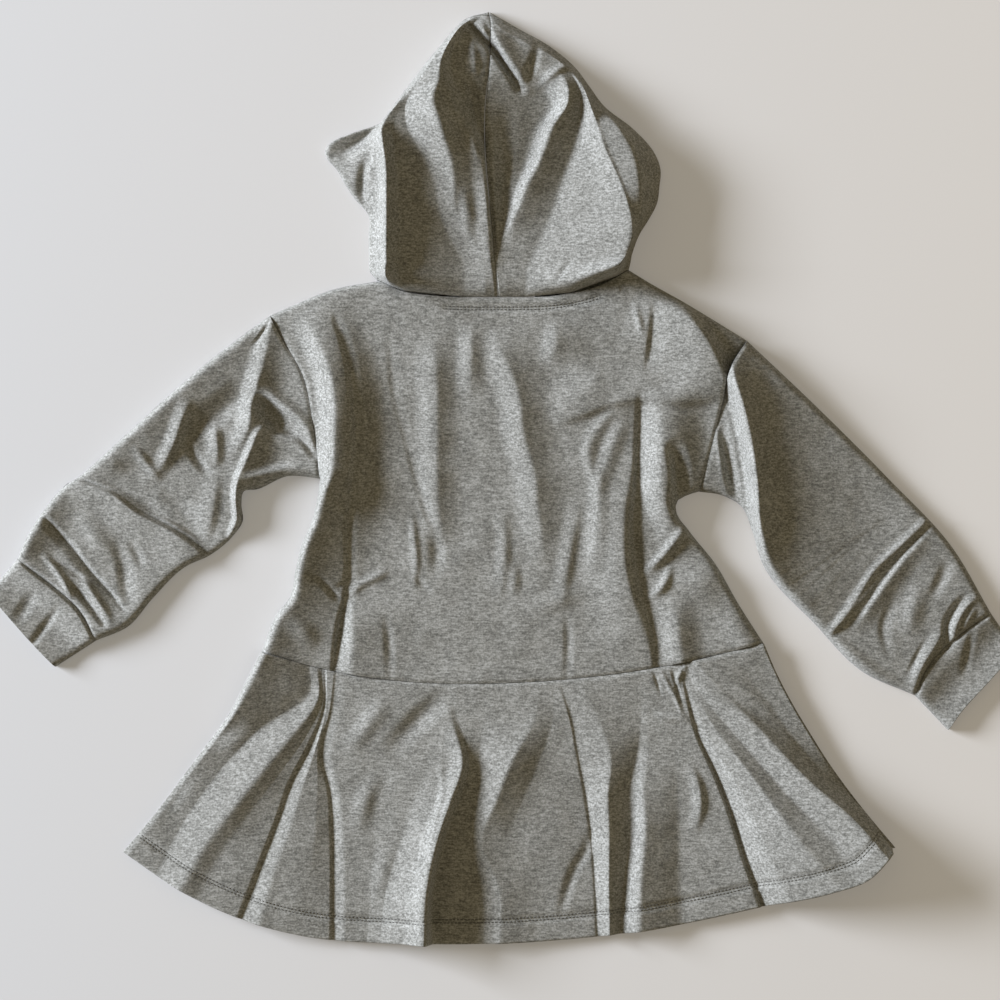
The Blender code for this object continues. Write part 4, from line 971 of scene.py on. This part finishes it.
def made(name, corners, faces, material):
    """A smooth mesh object from corners in millimetres and faces."""
    mesh = bpy.data.meshes.new(name)
    mesh.from_pydata((np.asarray(corners) * MM).tolist(), [], [tuple(face) for face in faces])
    mesh.polygons.foreach_set("use_smooth", np.ones(len(mesh.polygons), bool))
    mesh.materials.append(material)
    mesh.update()
    return placed(name, mesh)


def sew(node, body):
    """A visible piece of the dress that stands for a node."""
    shift = HEATHER_SHIFT * len(bpy.data.materials)
    piece = made(node + "_cloth", *body, heather(node + "_heather", shift))
    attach(piece, "root")
    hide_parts(node)


def stitch(ends, base):
    """Corners and faces of one stitch through its four rings' middles; base counts the corners before it."""
    run = ends[-1] - ends[0]
    run /= np.linalg.norm(run)
    side = np.cross((0, 0, 1), run)
    up = np.cross(run, side)
    turns = np.linspace(0, 2 * np.pi, THREAD_SIDES, endpoint=False)
    corners = [end + STITCH_RADIUS * share * (math.cos(turn) * side + THREAD_FLATNESS * math.sin(turn) * up)
               for end, share in zip(ends, STITCH_SHARES) for turn in turns]
    faces = []
    for ring in range(base, base + 3 * THREAD_SIDES, THREAD_SIDES):
        for k in range(THREAD_SIDES):
            a, b = ring + k, ring + (k + 1) % THREAD_SIDES
            faces.append((a, b, b + THREAD_SIDES, a + THREAD_SIDES))
    faces.append(tuple(range(base + THREAD_SIDES - 1, base - 1, -1)))
    faces.append(tuple(range(base + 3 * THREAD_SIDES, base + 4 * THREAD_SIDES)))
    return corners, faces


def stitching(name, lines):
    """Rows of stitches along lines in space, as one piece."""
    corners, faces = [], []
    for line in lines:
        steps = np.linalg.norm(np.diff(line, axis=0), axis=1)
        place = np.concatenate(([0.0], np.cumsum(steps)))
        for start in np.arange(STITCH_START, place[-1] - STITCH_LENGTH, STITCH_PITCH):
            ends = np.array([[np.interp(start + s * STITCH_LENGTH, place, line[:, k]) for k in range(3)]
                             for s in STITCH_PLACES])
            more, sides = stitch(ends, len(corners))
            corners.extend(more)
            faces.extend(sides)
    piece = made(name, corners, faces, thread(name + "_thread"))
    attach(piece, "root")


def sew_front():
    """The two front panels, underneath."""
    sew("front_bodice", flat_panel(bodice_plan(NECK_FRONT, COARSE_STEP)))
    plan, _, _ = skirt_grid(skirt_columns(COARSE_STEP), COARSE_STEP, FRONT_SKIRT_PROUD)
    sew("front_skirt", flat_panel(plan))


def sew_back_bodice():
    """The back bodice and the two rows of stitches below its neck seam."""
    plan = crowded(bodice_plan(NECK_BACK, STEP))
    neck = nearest(plan, even(NECK_BACK, SEAM_PLACES))[0]
    first, last = NECK_STITCH_ENDS
    span = np.clip(np.minimum(plan[..., 0] - first, last - plan[..., 0]) / NECK_STITCH_FADE, 0, 1)
    height = surface(plan, BODICE_FOLDS, extra=stitch_dip(neck, NECK_STITCH) * span)
    sew("back_bodice", upper_panel(plan, height))
    seam = even(NECK_BACK, NECK_PLACES)
    seam = seam[slice(*np.searchsorted(seam[:, 0], NECK_STITCH_ENDS))]
    lines = []
    for row in NECK_STITCH:
        line = seam - (0, row)
        lines.append(lifted(line, surface(line, BODICE_FOLDS, extra=-STITCH_DIP) + THREAD_LIFT))
    stitching("neck_stitches", lines)


def sew_back_skirt():
    """The back skirt with its flutes, and the two rows of stitches of its hem."""
    plan, rise, v = skirt_grid(skirt_columns(SKIRT_STEP), SKIRT_STEP)
    edges = [np.vstack((plan[::SIDE_EVERY, k], plan[-1, k])) for k in (0, -1)]
    hem_gap = nearest(plan, even(HEM, HEM_PLACES))[0]
    flutes = softened(rise, SKIRT_SOFTENING) + stitch_dip(hem_gap, HEM_STITCH)
    height = surface(plan, SKIRT_FOLDS, edges, 1 - HEM_SINK * v, flutes) - HEM_DROP * (1 - turned(hem_gap))
    height = np.maximum(height, EDGE_Z)
    sew("back_skirt", upper_panel(plan, height))
    top, number = lifted(plan, height), np.arange(len(plan))
    lines = []
    for row in HEM_STITCH:
        line = []
        for column, gap in zip(top.swapaxes(0, 1)[HEM_STITCH_ENDS], hem_gap.T[HEM_STITCH_ENDS]):
            place = np.interp(-row, -gap, number)
            line.append([np.interp(place, number, column[:, k]) for k in range(3)])
        lines.append(np.array(line) + (0, 0, THREAD_LIFT))
    stitching("hem_stitches", lines)


def sew_sleeve(node, armhole, seam, top, under, table, sink):
    """A sleeve, from the armhole to the seam of its cuff."""
    across, down = steps_along(armhole, FINE_STEP), steps_along(top, FINE_STEP)
    plan = patch(even(armhole, across), even(seam, across), even(top, down), even(under, down))
    sew(node, tube(crowded(drawn_back(plan)), CLOTH, table, sink))


def sew_cuff(node, seam, end, table):
    """A cuff, from its seam to its end."""
    across = steps_along(seam, FINE_STEP)
    start, finish = even(seam, across), even(end, across)
    shares = np.linspace(0.0, 1.0, CUFF_ROWS)[:, None, None]
    plan = crowded(drawn_back(start + shares * (finish - start), last=0.0))
    sew(node, tube(plan, CUFF_CLOTH, table))


def dress():
    """All the pieces of the dress."""
    sew_front()
    sew_back_bodice()
    sew_back_skirt()
    sew_sleeve("sleeve_left", ARMHOLE_LEFT, CUFF_LEFT_SEAM, SLEEVE_LEFT_TOP, SLEEVE_LEFT_UNDER,
               SLEEVE_LEFT_FOLDS, SLEEVE_LEFT_SINK)
    sew_sleeve("sleeve_right", ARMHOLE_RIGHT, CUFF_RIGHT_SEAM, SLEEVE_RIGHT_TOP, SLEEVE_RIGHT_UNDER,
               SLEEVE_RIGHT_FOLDS, 0.0)
    sew_cuff("cuff_left", CUFF_LEFT_SEAM, CUFF_LEFT_END, SLEEVE_LEFT_FOLDS)
    sew_cuff("cuff_right", CUFF_RIGHT_SEAM, CUFF_RIGHT_END, SLEEVE_RIGHT_FOLDS)
    sew("hood_left", hood_wall(HOOD_LEFT, -1))
    sew("hood_right", hood_wall(HOOD_RIGHT, 1))


# --- Stage ---

def look_down():
    """Camera straight above, with the frame's width on the floor."""
    camera = placed("camera", bpy.data.cameras.new("camera"))
    camera.location = (0, 0, CAMERA_HEIGHT)
    camera.data.angle = 2 * math.atan(FRAME_WIDTH / 2 / CAMERA_HEIGHT)
    bpy.context.scene.camera = camera


def light_up():
    """Large soft key light from the left, and an even warm fill."""
    lamp = bpy.data.lights.new("key", "AREA")
    lamp.shape = "RECTANGLE"
    lamp.size = KEY_WIDTH
    lamp.size_y = KEY_HEIGHT
    lamp.energy = KEY_POWER
    lamp.color = KEY_COLOUR
    key = placed("key", lamp)
    key.location = KEY_FROM
    away = -np.array(KEY_FROM)
    key.rotation_euler = (math.atan2(math.hypot(away[0], away[1]), -away[2]), 0,
                          math.atan2(away[1], away[0]) - math.pi / 2)
    world = bpy.data.worlds.new("fill")
    world.use_nodes = True
    world.node_tree.nodes["Background"].inputs["Color"].default_value = (*FILL_COLOUR, 1)
    bpy.context.scene.world = world


def lay_floor():
    """Plain pale floor, a little below the dress."""
    half = FLOOR_HALF / MM
    corners = [(x, y, FLOOR_Z) for x, y in ((-half, -half), (half, -half), (half, half), (-half, half))]
    floor = made("floor", corners, [(0, 1, 2, 3)], floor_material())


look_down()
light_up()
lay_floor()
dress()

scene = bpy.context.scene
scene.view_settings.view_transform = "Standard"
